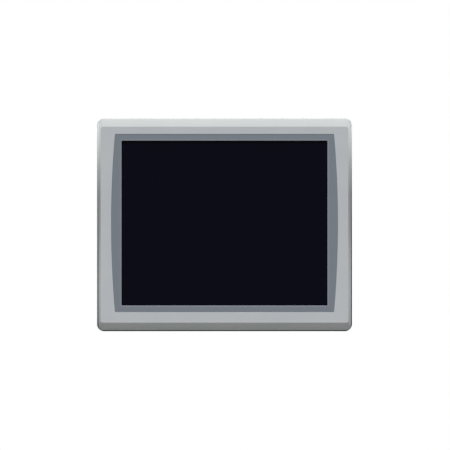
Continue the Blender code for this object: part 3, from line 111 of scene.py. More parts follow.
def makeFinish(name, colour, shade, rough, metallic=0.0, mottle=14.0, grain=0.8, depth=0.02,
               stretch=(1, 1, 1), roughSpread=0.08, **sockets):
    # colour drifts to shade over patches mottle mm wide; bumps are grain mm wide, depth mm high
    material, tree, shader = newMaterial(name)
    place = addNode(tree, "TexCoord")
    turned = addNode(tree, "Mapping", {}, {"Scale": stretch}, {"Vector": (place, "Object")})
    patches = addNode(tree, "TexNoise", {}, {"Scale": metre / mottle, "Detail": 3.0},
                      {"Vector": (turned, "Vector")})
    fine = addNode(tree, "TexNoise", {}, {"Scale": metre / grain, "Detail": 2.0},
                   {"Vector": (turned, "Vector")})
    spread = addNode(tree, "MapRange", {}, {"From Min": 0.35, "From Max": 0.65},
                     {"Value": (patches, "Fac")})
    mix = addNode(tree, "Mix", {"data_type": "RGBA"}, {6: hexColour(colour), 7: hexColour(shade)},
                  {"Factor": (spread, "Result")})
    sheen = addNode(tree, "MapRange", {}, {"From Min": 0.3, "From Max": 0.7,
                    "To Min": rough - roughSpread / 2, "To Max": rough + roughSpread / 2},
                    {"Value": (fine, "Fac")})
    bump = addNode(tree, "Bump", {}, {"Strength": 1.0, "Distance": depth * mm},
                   {"Height": (fine, "Fac")})
    feedShader(tree, shader, mix, bump, sheen)
    shader.inputs["Metallic"].default_value = metallic
    for key, value in sockets.items():
        shader.inputs[key].default_value = value
    return material


materials = {}


def makeMaterials():
    m = materials
    # die-cast aluminium, powder-coated: an even, faintly pebbled semi-matt skin, with painted
    # light and shade on its slopes and edges
    m["bezel"] = makeBezelPaintAndShade()
    # steel tray, powder-coated: darker grey with a coarser orange-peel surface
    m["housing"] = makeFinish("powderCoatedSteel", "#8E9397", "#868B8F", 0.5,
                              mottle=35, grain=1.6, depth=0.05)
    # galvanised sheet: cool bright metal whose zinc crystals differ in shine
    m["zinc"] = makeZinc()
    # screws, zinc-plated and blue-passivated: bright, slightly bluish metal
    m["screw"] = makeFinish("zincPlatedSteel", "#C9CCD0", "#B9BEC6", 0.3, 1.0,
                            mottle=3, grain=0.4, depth=0.008)
    # connector shells, nickel-plated: warm bright metal with rolling marks
    m["nickel"] = makeFinish("nickelPlatedSteel", "#CFCDC7", "#C6C4BD", 0.36, 1.0,
                             mottle=5, grain=0.5, depth=0.0015, stretch=(1, 1, 0.15))
    # contacts, gold-plated: small yellow metal glints
    m["gold"] = makeFinish("goldPlatedBronze", "#E2BE68", "#D3AA52", 0.22, 1.0,
                           mottle=1.5, grain=0.3, depth=0.003)
    # extruded aluminium: fine lines along the fins
    m["sink"] = makeFinish("extrudedAluminium", "#C6C8CA", "#B4B7BA", 0.34, 1.0,
                           mottle=4, grain=0.5, depth=0.015, stretch=(1, 1, 0.05))
    # levers, glass-filled nylon, moulded: charcoal with greyish fibre clouds
    m["nylon"] = makeFinish("glassFilledNylon", "#2B2D2F", "#34373A", 0.52,
                            mottle=5, grain=0.7, depth=0.03)
    # connector bodies, moulded polyester: near-black satin
    m["black"] = makeFinish("mouldedPolyester", "#17181A", "#1E2022", 0.42,
                            mottle=4, grain=0.5, depth=0.012)
    # terminal block, moulded polyamide: mid green, slightly waxy
    m["green"] = makeFinish("mouldedPolyamide", "#2F7F4C", "#2A7445", 0.4,
                            mottle=5, grain=0.6, depth=0.012)
    # small sliders and holders, moulded acetal: off-white and waxy
    m["white"] = makeFinish("mouldedAcetal", "#E6E5DF", "#DCDBD4", 0.38,
                            mottle=3, grain=0.5, depth=0.008)
    # light pipes and light guide, cast acrylic: clear, with a polished end
    m["clear"] = makeFinish("castAcrylic", "#DCE4E6", "#CFD9DC", 0.12, mottle=4, grain=0.8,
                            depth=0.003, roughSpread=0.04,
                            **{"Transmission Weight": 0.55, "IOR": 1.49})
    # port lights, moulded polycarbonate: tinted amber
    m["amber"] = makeFinish("mouldedPolycarbonate", "#C88A2A", "#BE8024", 0.3, mottle=3,
                            grain=0.4, depth=0.004)
    # thermal pad, filled silicone: chalky blue-grey
    m["pad"] = makeFinish("filledSilicone", "#9AA6BA", "#8D99AE", 0.8,
                          mottle=3, grain=0.3, depth=0.03)
    # flat cables, polyimide film: glossy amber with coppery bands
    m["film"] = makeFilm()
    m["sponge"] = makeSponge()
    m["overlay"] = makeOverlay()
    # glass with an anti-reflective coat over an unlit display: blue-black, dim soft reflections
    m["glass"] = makeFinish("antiReflectiveGlass", "#050513", "#050512", 0.16,
                            mottle=90, grain=0.5, depth=0.0004, roughSpread=0.02,
                            **{"Specular IOR Level": 0.25})
    # ceramic ink fired on the glass's edge: a deeper black than the picture area, partly the ink's
    # own and partly a painted shadow of the surround's edge
    m["inkAndShadow"] = makeFinish("firedCeramicInkAndShadow", "#01010A", "#02020C", 0.3,
                          mottle=40, grain=0.5, depth=0.0004, roughSpread=0.02,
                          **{"Specular IOR Level": 0.1})
    # metallised polyester: an even satin silver; its print is a matt slate grey
    m["labelFilm"] = makeFinish("metallisedPolyester", "#C6C9CB", "#BFC3C6", 0.48, 0.4, mottle=25,
                                grain=0.5, depth=0.002)
    m["labelInk"] = makeFinish("screenPrintedInk", "#5A6168", "#626A71", 0.5, mottle=18,
                               grain=0.4, depth=0.003)
    m["board"] = makeBoard()


# painted light and shade on the bezel's paint, by height, 0 at its bottom and 1 at its top: above
# and below the face, on the inner part of the side slopes, and along their outer edges.
# They stand in for an overhead light: painted highlights at the top corners and along the lower
# crease, painted shade on the side slopes and a painted shadow line along the bottom edge. Each
# band starts across the given distances, in mm, along its axis
paintedShadeBands = {
    "middle": (None, ((0.0, 0.05), (1.0, 0.95), (0.0045, 0.05), (0.0055, 1.05), (0.0400, 1.05),
                      (0.0410, 1.06), (0.0455, 1.06), (0.0475, 1.0), (0.9585, 1.0),
                      (0.9596, 0.90))),
    "inner": (("reach", 184.5, 184.9),
              ((0.0, 0.40), (1.0, 0.93), (0.005, 0.90), (0.040, 1.00), (0.045, 0.88),
               (0.08, 0.90), (0.18, 1.00), (0.33, 0.94), (0.48, 0.73), (0.64, 0.68),
               (0.76, 0.94), (0.86, 1.34), (0.92, 1.54), (0.950, 1.56), (0.962, 1.22),
               (0.985, 0.92))),
    "left": (("X", -186.8, -188.0),
             ((0.0, 0.30), (1.0, 0.93), (0.040, 0.40), (0.08, 0.44), (0.18, 0.50),
              (0.33, 0.47), (0.48, 0.50), (0.64, 0.60), (0.76, 1.00), (0.86, 1.60),
              (0.92, 1.90), (0.955, 2.00), (0.966, 1.75), (0.985, 0.93))),
    "right": (("X", 188.5, 189.0),
              ((0.0, 0.03), (1.0, 0.93), (0.08, 0.02), (0.33, 0.03), (0.48, 0.05),
               (0.64, 0.28), (0.76, 0.80), (0.86, 1.50), (0.92, 1.85), (0.955, 2.00),
               (0.966, 1.75), (0.985, 0.93))),
}


def makeBezelPaintAndShade():
    # powder coat over a casting: an even, faintly textured light grey; painted light and shade run
    # the side slopes from a painted highlight at the top corners to painted shade, deepest along
    # the outer edge
    material = makeFinish("powderCoatedAluminiumPaintedShade", "#B1B5B8", "#AEB2B6", 0.55, mottle=60,
                          grain=0.9, depth=0.012, **{"Specular IOR Level": 0.35})
    tree = material.node_tree
    shader = tree.nodes["Principled BSDF"]
    coat = shader.inputs["Base Color"].links[0].from_socket
    place = addNode(tree, "TexCoord")
    split = addNode(tree, "SeparateXYZ", {}, {}, {"Vector": (place, "Object")})
    reach = addNode(tree, "Math", {"operation": "ABSOLUTE"}, {}, {0: (split, "X")})
    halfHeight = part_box("bezel_frame")[1].z
    level = addNode(tree, "MapRange", {}, {"From Min": -halfHeight, "From Max": halfHeight},
                    {"Value": (split, "Z")})
    paintedShade = None
    # each ramp is painted light and shade, multiplied into the powder coat's colour
    for band, stops in paintedShadeBands.values():
        ramp = addNode(tree, "ValToRGB", {}, {}, {"Fac": (level, "Result")})
        points = ramp.color_ramp.elements
        for i, (where, value) in enumerate(stops):
            point = points[i] if i < 2 else points.new(where)
            point.position = where
            # slopes are a neutral grey, the face a little bluer; a ramp's top value is 2
            blue = 1.0 if value == 1.0 else 0.95
            point.color = (value / 2, value / 2, value / 2 * blue, 1)
        if band is None:
            paintedShade = (ramp, "Color")
            continue
        axis, start, end = band
        across = (reach, 0) if axis == "reach" else (split, axis)
        step = addNode(tree, "MapRange", {"interpolation_type": "SMOOTHSTEP"},
                       {"From Min": start * mm, "From Max": end * mm}, {"Value": across})
        paintedShade = (addNode(tree, "Mix", {"data_type": "RGBA"}, {},
                        {"Factor": (step, "Result"), 6: paintedShade, 7: (ramp, "Color")}), 2)
    whole = addNode(tree, "VectorMath", {"operation": "SCALE"}, {"Scale": 2.0}, {"Vector": paintedShade})
    result = addNode(tree, "VectorMath", {"operation": "MULTIPLY"}, {}, {0: (whole, 0)})
    tree.links.new(coat, result.inputs[1])
    tree.links.new(result.outputs[0], shader.inputs["Base Color"])
    return material


overlayWeaveAndHighlight = {"highlightStart": 1.2, "highlightEnd": 3.4, "weave": 0.35, "patches": 50, "depth": 0.008}


def makeOverlay():
    # reverse-printed polyester film, velvet-textured: slate grey, with a painted highlight,
    # lighter, along the window's edge
    s = overlayWeaveAndHighlight
    material, tree, shader = newMaterial("texturedPolyesterFilm")
    place = addNode(tree, "TexCoord")
    split = addNode(tree, "SeparateXYZ", {}, {}, {"Vector": (place, "Object")})
    # how far a point lies outside the window, the larger of its two distances
    reach = []
    for axis, middle, size in (("X", 0.0, windowSize[0]), ("Z", windowMiddle, windowSize[1])):
        shift = addNode(tree, "Math", {"operation": "SUBTRACT"}, {1: middle * mm},
                        {0: (split, axis)})
        far = addNode(tree, "Math", {"operation": "ABSOLUTE"}, {}, {0: (shift, 0)})
        reach.append(addNode(tree, "Math", {"operation": "SUBTRACT"}, {1: size / 2 * mm},
                             {0: (far, 0)}))
    edge = addNode(tree, "Math", {"operation": "MAXIMUM"}, {},
                   {0: (reach[0], 0), 1: (reach[1], 0)})
    # a painted highlight: lighter in a band just outside the window, where the edge would catch
    # light
    band = addNode(tree, "MapRange", {"interpolation_type": "SMOOTHSTEP"},
                   {"From Min": s["highlightStart"] * mm, "From Max": s["highlightEnd"] * mm,
                    "To Min": 1.0, "To Max": 0.0}, {"Value": (edge, 0)})
    weave = addNode(tree, "TexNoise", {}, {"Scale": metre / s["weave"], "Detail": 2.0},
                    {"Vector": (place, "Object")})
    patches = addNode(tree, "TexNoise", {}, {"Scale": metre / s["patches"], "Detail": 2.0},
                      {"Vector": (place, "Object")})
    base = addNode(tree, "Mix", {"data_type": "RGBA"},
                   {6: hexColour("#6F757E"), 7: hexColour("#717880")},
                   {"Factor": (patches, "Fac")})
    mix = addNode(tree, "Mix", {"data_type": "RGBA"}, {7: hexColour("#797D87")},
                  {"Factor": (band, "Result"), 6: (base, 2)})
    sheen = addNode(tree, "MapRange", {}, {"To Min": 0.5, "To Max": 0.6},
                    {"Value": (weave, "Fac")})
    bump = addNode(tree, "Bump", {}, {"Strength": 1.0, "Distance": s["depth"] * mm},
                   {"Height": (weave, "Fac")})
    feedShader(tree, shader, mix, bump, sheen)
    return material


def makeZinc():
    # hot-dip galvanised sheet: crystals 8 mm across, each a little brighter or duller
    material, tree, shader = newMaterial("galvanisedSteel")
    place = addNode(tree, "TexCoord")
    cells = addNode(tree, "TexVoronoi", {"feature": "F1"}, {"Scale": metre / 8, "Randomness": 1.0},
                    {"Vector": (place, "Object")})
    grey = addNode(tree, "RGBToBW", {}, {}, {"Color": (cells, "Color")})
    mix = addNode(tree, "Mix", {"data_type": "RGBA"},
                  {6: hexColour("#ABB0B4"), 7: hexColour("#BBBFC3")},
                  {"Factor": (grey, "Val")})
    sheen = addNode(tree, "MapRange", {}, {"To Min": 0.46, "To Max": 0.6},
                    {"Value": (grey, "Val")})
    fine = addNode(tree, "TexNoise", {}, {"Scale": metre / 0.6}, {"Vector": (place, "Object")})
    bump = addNode(tree, "Bump", {}, {"Strength": 1.0, "Distance": 0.01 * mm},
                   {"Height": (fine, "Fac")})
    feedShader(tree, shader, mix, bump, sheen)
    shader.inputs["Metallic"].default_value = 1.0
    return material


def makeSponge():
    # closed-cell EPDM sponge: matt black with open cells 0.7 mm across on its cut faces
    material, tree, shader = newMaterial("closedCellSponge")
    place = addNode(tree, "TexCoord")
    cells = addNode(tree, "TexVoronoi", {"feature": "SMOOTH_F1"}, {"Scale": metre / 0.7},
                    {"Vector": (place, "Object")})
    patches = addNode(tree, "TexNoise", {}, {"Scale": metre / 9}, {"Vector": (place, "Object")})
    mix = addNode(tree, "Mix", {"data_type": "RGBA"},
                  {6: hexColour("#1B1C1D"), 7: hexColour("#262728")},
                  {"Factor": (patches, "Fac")})
    bump = addNode(tree, "Bump", {}, {"Strength": 1.0, "Distance": 0.12 * mm},
                   {"Height": (cells, "Distance")})
    feedShader(tree, shader, mix, bump)
    shader.inputs["Roughness"].default_value = 0.85
    return material


def makeFilm():
    # polyimide over copper: amber film, with darker bands 6 mm apart along the strip. Real
    # tracks are under 1 mm apart, too fine to show, so they are drawn coarser
    material, tree, shader = newMaterial("polyimideFilm")
    place = addNode(tree, "TexCoord")
    tracks = addNode(tree, "TexWave", {"wave_type": "BANDS", "bands_direction": "X"},
                     {"Scale": 2 * math.pi / 20 * metre / 6, "Distortion": 0.0},
                     {"Vector": (place, "Object")})
    mix = addNode(tree, "Mix", {"data_type": "RGBA"},
                  {6: hexColour("#A5641C"), 7: hexColour("#C98A3A")},
                  {"Factor": (tracks, "Fac")})
    bump = addNode(tree, "Bump", {}, {"Strength": 1.0, "Distance": 0.03 * mm},
                   {"Height": (tracks, "Fac")})
    feedShader(tree, shader, mix, bump)
    shader.inputs["Roughness"].default_value = 0.3
    return material


def makeBoard():
    # glass-epoxy laminate under green solder mask: tracks show as lighter, raised lines
    # 1.4 mm apart
    material, tree, shader = newMaterial("solderMaskedLaminate")
    place = addNode(tree, "TexCoord")
    flat = addNode(tree, "Mapping", {}, {"Rotation": (math.pi / 2, 0, 0)},
                   {"Vector": (place, "Object")})
    tracks = addNode(tree, "TexBrick", {"offset": 0.5, "squash": 1.0},
                     {"Scale": metre / 4, "Mortar Size": 0.06, "Mortar Smooth": 0.3,
                      "Brick Width": 2.5, "Row Height": 0.35}, {"Vector": (flat, "Vector")})
    patches = addNode(tree, "TexNoise", {}, {"Scale": metre / 18}, {"Vector": (place, "Object")})
    base = addNode(tree, "Mix", {"data_type": "RGBA"},
                   {6: hexColour("#0E4A2C"), 7: hexColour("#115233")},
                   {"Factor": (patches, "Fac")})
    mix = addNode(tree, "Mix", {"data_type": "RGBA"}, {7: hexColour("#2A7A4C")},
                  {"Factor": (tracks, "Fac"), 6: (base, 2)})
    bump = addNode(tree, "Bump", {}, {"Strength": 1.0, "Distance": 0.035 * mm},
                   {"Height": (tracks, "Fac")})
    feedShader(tree, shader, mix, bump)
    shader.inputs["Roughness"].default_value = 0.35
    return material


def addBlock(bm, low, high, along=None, radius=0.0, steps=4):
    # a block between two corners in mm; its edges along one axis may be rounded
    low, high = Vector(low) * mm, Vector(high) * mm
    verts = bmesh.ops.create_cube(bm, size=1.0)["verts"]
    place = Matrix.Translation((low + high) / 2) @ Matrix.Diagonal((*(high - low), 1))
    bmesh.ops.transform(bm, matrix=place, verts=verts)
    faces = list({f for v in verts for f in v.link_faces})
    if radius:
        axis = "XYZ".index(along)
        edges = [e for e in {e for v in verts for e in v.link_edges}
                 if abs((e.verts[0].co - e.verts[1].co)[axis]) > tiny]
        made = bmesh.ops.bevel(bm, geom=edges, offset=radius * mm, segments=steps, profile=0.5,
                               affect="EDGES", material=-1, clamp_overlap=True)
        faces = list({f for v in made["verts"] for f in v.link_faces})
    return faces


def addRod(bm, centre, radius, length, along="Y", steps=32):
    # a round bar about one axis, sizes in mm
    made = bmesh.ops.create_cone(bm, cap_ends=True, segments=steps, radius1=radius * mm,
                                 radius2=radius * mm, depth=length * mm)
    turns = {"X": Matrix.Rotation(math.pi / 2, 4, "Y"), "Y": Matrix.Rotation(-math.pi / 2, 4, "X"),
             "Z": Matrix.Identity(4)}
    place = Matrix.Translation(Vector(centre) * mm) @ turns[along]
    bmesh.ops.transform(bm, matrix=place, verts=made["verts"])
    return list({f for v in made["verts"] for f in v.link_faces})


def addTurned(bm, profile, place, steps=32):
    # a round shape: the profile is (radius, height) in mm, turned about Z and moved by place
    old = set(bm.verts)
    verts = [bm.verts.new((radius * mm, 0, height * mm)) for radius, height in profile]
    edges = [bm.edges.new(pair) for pair in zip(verts, verts[1:])]
    bmesh.ops.spin(bm, geom=verts + edges, cent=(0, 0, 0), axis=(0, 0, 1), dvec=(0, 0, 0),
                   angle=2 * math.pi, steps=steps, use_merge=True, use_duplicate=False)
    fresh = [v for v in bm.verts if v not in old]
    bmesh.ops.remove_doubles(bm, verts=fresh, dist=tiny)
    fresh = [v for v in bm.verts if v not in old]
    bmesh.ops.transform(bm, matrix=place, verts=fresh)
    return list({f for v in fresh for f in v.link_faces})


def backwards(x, y, z):
    # moves a shape made along Z to a place in mm and points it into the cabinet, along +Y
    return Matrix.Translation(Vector((x, y, z)) * mm) @ Matrix.Rotation(-math.pi / 2, 4, "X")


def bowAt(height, level, bow):
    # how far a bowed side stands out at one level, all in mm
    half = height / 2
    radius = (half * half + bow * bow) / (2 * bow)
    return bow - radius + math.sqrt(max(radius * radius - level * level, 0.0))


def addOutline(bm, size, y, radius, middle=0.0, bow=0.0, steps=8, cuts=24):
    # a rounded rectangle upright in the plane y, as a closed loop of edges; mm
    old = set(bm.edges)
    verts = bmesh.ops.create_grid(bm, x_segments=1, y_segments=1, size=0.5)["verts"]
    place = Matrix.Translation(Vector((0, y, middle)) * mm) @ Matrix.Rotation(math.pi / 2, 4, "X")
    place = place @ Matrix.Diagonal((size[0] * mm, size[1] * mm, 1, 1))
    bmesh.ops.transform(bm, matrix=place, verts=verts)
    bmesh.ops.bevel(bm, geom=verts, offset=radius * mm, offset_type="OFFSET", segments=steps,
                    profile=0.5, affect="VERTICES", material=-1)
    fresh = [e for e in bm.edges if e not in old]
    faces = list({f for e in fresh for f in e.link_faces})
    bmesh.ops.delete(bm, geom=faces, context="FACES_ONLY")
    upright = [e for e in fresh if abs(e.verts[0].co.x - e.verts[1].co.x) < tiny
               and e.calc_length() > size[1] * mm / 2]
    if cuts:
        bmesh.ops.subdivide_edges(bm, edges=upright, cuts=cuts)
    fresh = [e for e in bm.edges if e not in old]
    if bow:
        for v in {v for e in fresh for v in e.verts}:
            if abs(v.co.x) > (size[0] / 2 - radius) * mm - tiny:
                out = bowAt(size[1], v.co.z / mm - middle, bow) * mm
                v.co.x += math.copysign(out, v.co.x)
    return fresh


loopGap = 0.05                  # m between loops while they are joined


def joinLoops(bm, loops, closed=False):
    # a skin from each loop to the next; they are spread out along Y while they are bridged,
    # because two loops in one plane could be joined crosswise
    rings = [list({v for e in loop for v in e.verts}) for loop in loops]
    for i, ring in enumerate(rings):
        bmesh.ops.translate(bm, vec=(0, loopGap * i, 0), verts=ring)
    pairs = list(zip(loops, loops[1:])) + ([(loops[-1], loops[0])] if closed else [])
    for near, far in pairs:
        bmesh.ops.bridge_loops(bm, edges=near + far)
    for i, ring in enumerate(rings):
        bmesh.ops.translate(bm, vec=(0, -loopGap * i, 0), verts=ring)


def newShape():
    # the layer for fillets comes first, because adding it later would lose every edge held
    bm = bmesh.new()
    bm.edges.layers.float.new("bevel_weight_edge")
    return bm


def weightEdges(bm, edges, radius):
    # marks edges for a fillet of that radius in mm; the Bevel modifier's width is 1 mm
    layer = bm.edges.layers.float["bevel_weight_edge"]
    for edge in edges:
        edge[layer] = radius


def combine(body, tool, operation="DIFFERENCE"):
    # one solid cut from or joined to another; both bmeshes are used up
    pair = []
    for shape in (body, tool):
        bmesh.ops.recalc_face_normals(shape, faces=shape.faces)
        mesh = bpy.data.meshes.new("carving")
        shape.to_mesh(mesh)
        shape.free()
        pair.append(bpy.data.objects.new("carving", mesh))
        bpy.context.scene.collection.objects.link(pair[-1])
    change = pair[0].modifiers.new("Cut", "BOOLEAN")
    change.operation = operation
    change.solver = "EXACT"
    change.object = pair[1]
    bpy.context.view_layer.update()
    shown = pair[0].evaluated_get(bpy.context.evaluated_depsgraph_get())
    result = bpy.data.meshes.new_from_object(shown)
    made = bmesh.new()
    made.from_mesh(result)
    bpy.data.meshes.remove(result)
    for item in pair:
        mesh = item.data
        bpy.data.objects.remove(item)
        bpy.data.meshes.remove(mesh)
    return made


def copyNode(name):
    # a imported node's own shape, merged, with its flat triangles joined
    bm = bmesh.new()
    bm.from_mesh(frame["nodes"][name].data)
    bmesh.ops.remove_doubles(bm, verts=bm.verts, dist=tiny)
    bmesh.ops.dissolve_limit(bm, angle_limit=math.radians(1), verts=bm.verts, edges=bm.edges)
    return bm


def paint(faces, index):
    for face in faces:
        face.material_index = index


def finishPiece(name, bm, skins, nodes, body="root", fillet=None, byWeight=False,
                segments=3, sharp=32):
    # turns a bmesh into a finished piece that rides on its body and stands for its nodes
    bmesh.ops.recalc_face_normals(bm, faces=bm.faces)
    mesh = bpy.data.meshes.new(name)
    bm.to_mesh(mesh)
    bm.free()
    mesh.shade_smooth()
    mesh.set_sharp_from_angle(angle=math.radians(sharp))
    for skin in skins:
        mesh.materials.append(materials[skin])
    piece = bpy.data.objects.new(name, mesh)
    bpy.context.scene.collection.objects.link(piece)
    if fillet or byWeight:
        edges = piece.modifiers.new("Edges", "BEVEL")
        edges.width = mm if byWeight else fillet * mm
        edges.segments = segments
        edges.limit_method = "WEIGHT" if byWeight else "ANGLE"
        edges.angle_limit = math.radians(sharp)
        edges.use_clamp_overlap = True
        edges.harden_normals = True
    else:
        piece.modifiers.new("Normals", "WEIGHTED_NORMAL").keep_sharp = True
    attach(piece, body)
    if nodes:
        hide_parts(*nodes)
    return piece


panelLow, panelHigh = boxMm("bezel_frame")
panelSize = (panelHigh.x - panelLow.x, panelHigh.z - panelLow.z)
glassLow, glassHigh = boxMm("touch_glass")
glassSize = (glassHigh.x - glassLow.x, glassHigh.z - glassLow.z)
glassLap = 5.5                  # how far the surround covers the glass's edge
windowSize = (glassSize[0] - 2 * glassLap, glassSize[1] - 2 * glassLap)
windowMiddle = (glassLow.z + glassHigh.z) / 2

bezelSizes = {
    "cornerRadius": 10.7, "faceRadius": 3.2, "back": -0.5, "rimFront": -2.1, "face": -6.6,
    "slopeSide": 5.8, "slopeTop": 12.8, "slopeBottom": 13.1, "crown": 0.08,
    "rimFillet": 1.15, "creaseFillet": 0.5, "pocketFillet": 0.3, "pocketFloor": -4.8,
    "pocketPlay": 0.12, "glassPlay": 0.5, "grooveInset": 4.2, "grooveWidth": 7.6,
    "grooveFloor": -2.3, "grooveRadii": (2.7, 6.8), "openingRadius": 2.0, "edgeFillet": 0.25,
    "postRadius": 4.0, "postBore": 2.3, "postTop": 35.7, "postLength": 37.4,
    "postX": 150.0, "postZ": 136.0,
}
surroundSizes = {"sideEnd": 9.6, "border": 9.8, "bow": 5.8, "front": -6.3, "back": -5.1,
                 "radius": 0.8, "windowRadius": 0.6, "fillet": 0.3}
surroundSize = (windowSize[0] + 2 * surroundSizes["sideEnd"],
                windowSize[1] + 2 * surroundSizes["border"])


def postPlaces():
    # where the six housing screws meet the bezel
    far, high = bezelSizes["postX"], bezelSizes["postZ"]
    return [(x, z) for z in (high, -high) for x in (-far, 0.0, far)]


def makeBezel():
    s = bezelSizes
    width, height = panelSize
    bm = newShape()
    loops = [addOutline(bm, panelSize, s["back"], s["cornerRadius"]),
             addOutline(bm, panelSize, s["rimFront"], s["cornerRadius"])]
    faceSize = (width - 2 * s["slopeSide"], height - s["slopeTop"] - s["slopeBottom"])
    faceMiddle = (s["slopeBottom"] - s["slopeTop"]) / 2
    # the slope is very slightly crowned, as a casting drawn from a polished die is
    for step in (0.25, 0.5, 0.75):
        size = [a + (b - a) * step for a, b in zip(panelSize, faceSize)]
        y = s["rimFront"] + (s["face"] - s["rimFront"]) * step
        y -= s["crown"] * 4 * step * (1 - step)
        radius = s["cornerRadius"] + (s["faceRadius"] - s["cornerRadius"]) * step
        loops.append(addOutline(bm, size, y, radius, faceMiddle * step))
    loops.append(addOutline(bm, faceSize, s["face"], s["faceRadius"], faceMiddle))
    pocket = [v + 2 * s["pocketPlay"] for v in surroundSize]
    bow = surroundSizes["bow"]
    for y in (s["face"], s["pocketFloor"]):
        loops.append(addOutline(bm, pocket, y, surroundSizes["radius"], windowMiddle, bow))
    opening = [v + 2 * s["glassPlay"] for v in glassSize]
    for y in (s["pocketFloor"], s["back"]):
        loops.append(addOutline(bm, opening, y, s["openingRadius"], windowMiddle))
    inner = [v - 2 * (s["grooveInset"] + s["grooveWidth"]) for v in panelSize]
    outer = [v - 2 * s["grooveInset"] for v in panelSize]
    narrow, wide = s["grooveRadii"]
    for size, y, radius in ((inner, s["back"], narrow), (inner, s["grooveFloor"], narrow),
                            (outer, s["grooveFloor"], wide), (outer, s["back"], wide)):
        loops.append(addOutline(bm, size, y, radius))
    joinLoops(bm, loops, closed=True)
    # loops: 0 and 1 rim, 5 face, 6 and 7 pocket, 8 and 9 opening, 10 to 13 gasket groove
    weightEdges(bm, loops[0] + loops[8] + loops[9], s["edgeFillet"])
    weightEdges(bm, loops[1], s["rimFillet"])
    weightEdges(bm, loops[5], s["creaseFillet"])
    weightEdges(bm, loops[6], s["pocketFillet"])
    for x, z in postPlaces():
        # a hollow post behind the rim takes each housing screw
        bore, radius, length = s["postBore"], s["postRadius"], s["postLength"]
        profile = [(bore, length), (radius, length), (radius, 0.0), (bore, 0.0), (bore, length)]
        addTurned(bm, profile, backwards(x, s["postTop"] - length, z), 24)
    return finishPiece("bezel", bm, ["bezel"], ["bezel_frame"], byWeight=True,
                       segments=5)


def makeSurround():
    s = surroundSizes
    bm = newShape()
    loops = []
    for size, radius, bow, y in (
        (surroundSize, s["radius"], s["bow"], s["back"]),
        (surroundSize, s["radius"], s["bow"], s["front"]),
        (windowSize, s["windowRadius"], 0, s["front"]),
        (windowSize, s["windowRadius"], 0, s["back"]),
    ):
        loops.append(addOutline(bm, size, y, radius, windowMiddle, bow))
    joinLoops(bm, loops, closed=True)
    weightEdges(bm, loops[1] + loops[2], s["fillet"])
    return finishPiece("surround", bm, ["overlay"], ["overlay_frame"], byWeight=True)


glassSizes = {"radius": 1.0, "inkAndShadowWidth": 1.3, "pictureRadius": 0.8, "fillet": 0.3}


def makeGlass():
    # a polished plate; printed ink runs round the picture area, darker than it, partly as a
    # painted shadow of the surround's edge
    s = glassSizes
    bm = newShape()
    back, front = glassHigh.y, glassLow.y
    picture = [v - 2 * s["inkAndShadowWidth"] for v in windowSize]
    loops = [addOutline(bm, glassSize, back, s["radius"], windowMiddle, cuts=0),
             addOutline(bm, glassSize, front, s["radius"], windowMiddle, cuts=0),
             addOutline(bm, picture, front, s["pictureRadius"], windowMiddle, cuts=0)]
    joinLoops(bm, loops)
    paint(bm.faces, 1)
    ends = [bmesh.ops.edgeloop_fill(bm, edges=loops[0])["faces"],
            bmesh.ops.edgeloop_fill(bm, edges=loops[2])["faces"]]
    paint(ends[0], 1)
    paint(ends[1], 0)
    weightEdges(bm, loops[1], s["fillet"])
    return finishPiece("screenGlass", bm, ["glass", "inkAndShadow"], ["touch_glass"],
                       byWeight=True)


gasketSizes = {"width": 7.0, "radii": (6.5, 3.0), "fillet": 0.7}


def makeGasket():
    # a sponge ring with a softly crowned back
    s = gasketSizes
    bm = newShape()
    low, high = boxMm("panel_gasket")
    outer = (high.x - low.x, high.z - low.z)
    inner = [v - 2 * s["width"] for v in outer]
    wide, narrow = s["radii"]
    loops = [addOutline(bm, outer, low.y, wide), addOutline(bm, outer, high.y, wide),
             addOutline(bm, inner, high.y, narrow), addOutline(bm, inner, low.y, narrow)]
    joinLoops(bm, loops, closed=True)
    weightEdges(bm, loops[1] + loops[2], s["fillet"])
    return finishPiece("gasket", bm, ["sponge"], ["panel_gasket"], byWeight=True)


housingSizes = {
    "front": -0.2, "back": 38.0, "wall": 2.0, "radius": 6.0, "bend": 2.4,
    "ventHalf": 1.2, "ventRadius": 1.152, "ventPitch": 10.0, "vents": 17, "ventLow": 12.0,
    "ventHigh": 30.0,
    "backVentLow": 103.0, "backVentHigh": 124.3, "screwHole": 2.3, "groundHole": 2.8,
    "cableLow": (-18.0, 44.0), "cableHigh": (18.0, 52.0), "cableRadius": 2.0,
    "leverHole": 4.8, "leverNotch": (7.4, 2.4), "leverNotchAngle": 85.0,
    "standoffX": 98.0, "standoffLevels": (75.0, -49.7), "standoffRadius": 3.0,
    "standoffMiddle": 39.5, "standoffLength": 7.0, "groundPlace": (-141.2, -121.7),
}
coverSizes = {
    "front": 38.3, "back": 63.6, "halfWidth": 118.0, "bottom": -100.0, "top": 95.0,
    "wall": 2.0, "radius": 3.0, "bend": 1.6, "flange": 10.0, "flangeSheet": 1.8,
    "flangeLap": 1.0, "flangeInset": 10.0, "flangeFillet": 0.9,
    "screwX": 123.0, "screwLevels": (75.0, -80.0), "screwHole": 2.3,
    "portPlay": 0.4, "portRadius": 0.3, "pipeHole": 1.9, "doorRadius": 0.5,
    "cardLow": (112.0, 42.0, 16.6), "cardHigh": (122.0, 52.0, 51.4),
    "cardPin": (117.2, 50.7, 34.0), "cardPinLength": 37.6,
    "batteryLow": (-88.4, 58.0, -47.4), "batteryHigh": (-51.6, 66.0, -12.6),
    "batteryPin": (-70.0, 62.8, -46.1), "batteryPinLength": 39.6, "pinRadius": 0.7,
    "ventHalf": 1.2, "ventRadius": 1.15, "ventPitch": 10.0, "backVents": 7,
    "backVentLow": (59.0, -6.0), "backVentHigh": (66.0, 46.0), "topVents": 21,
    "topVentLow": 44.9, "topVentHigh": 57.6,
}
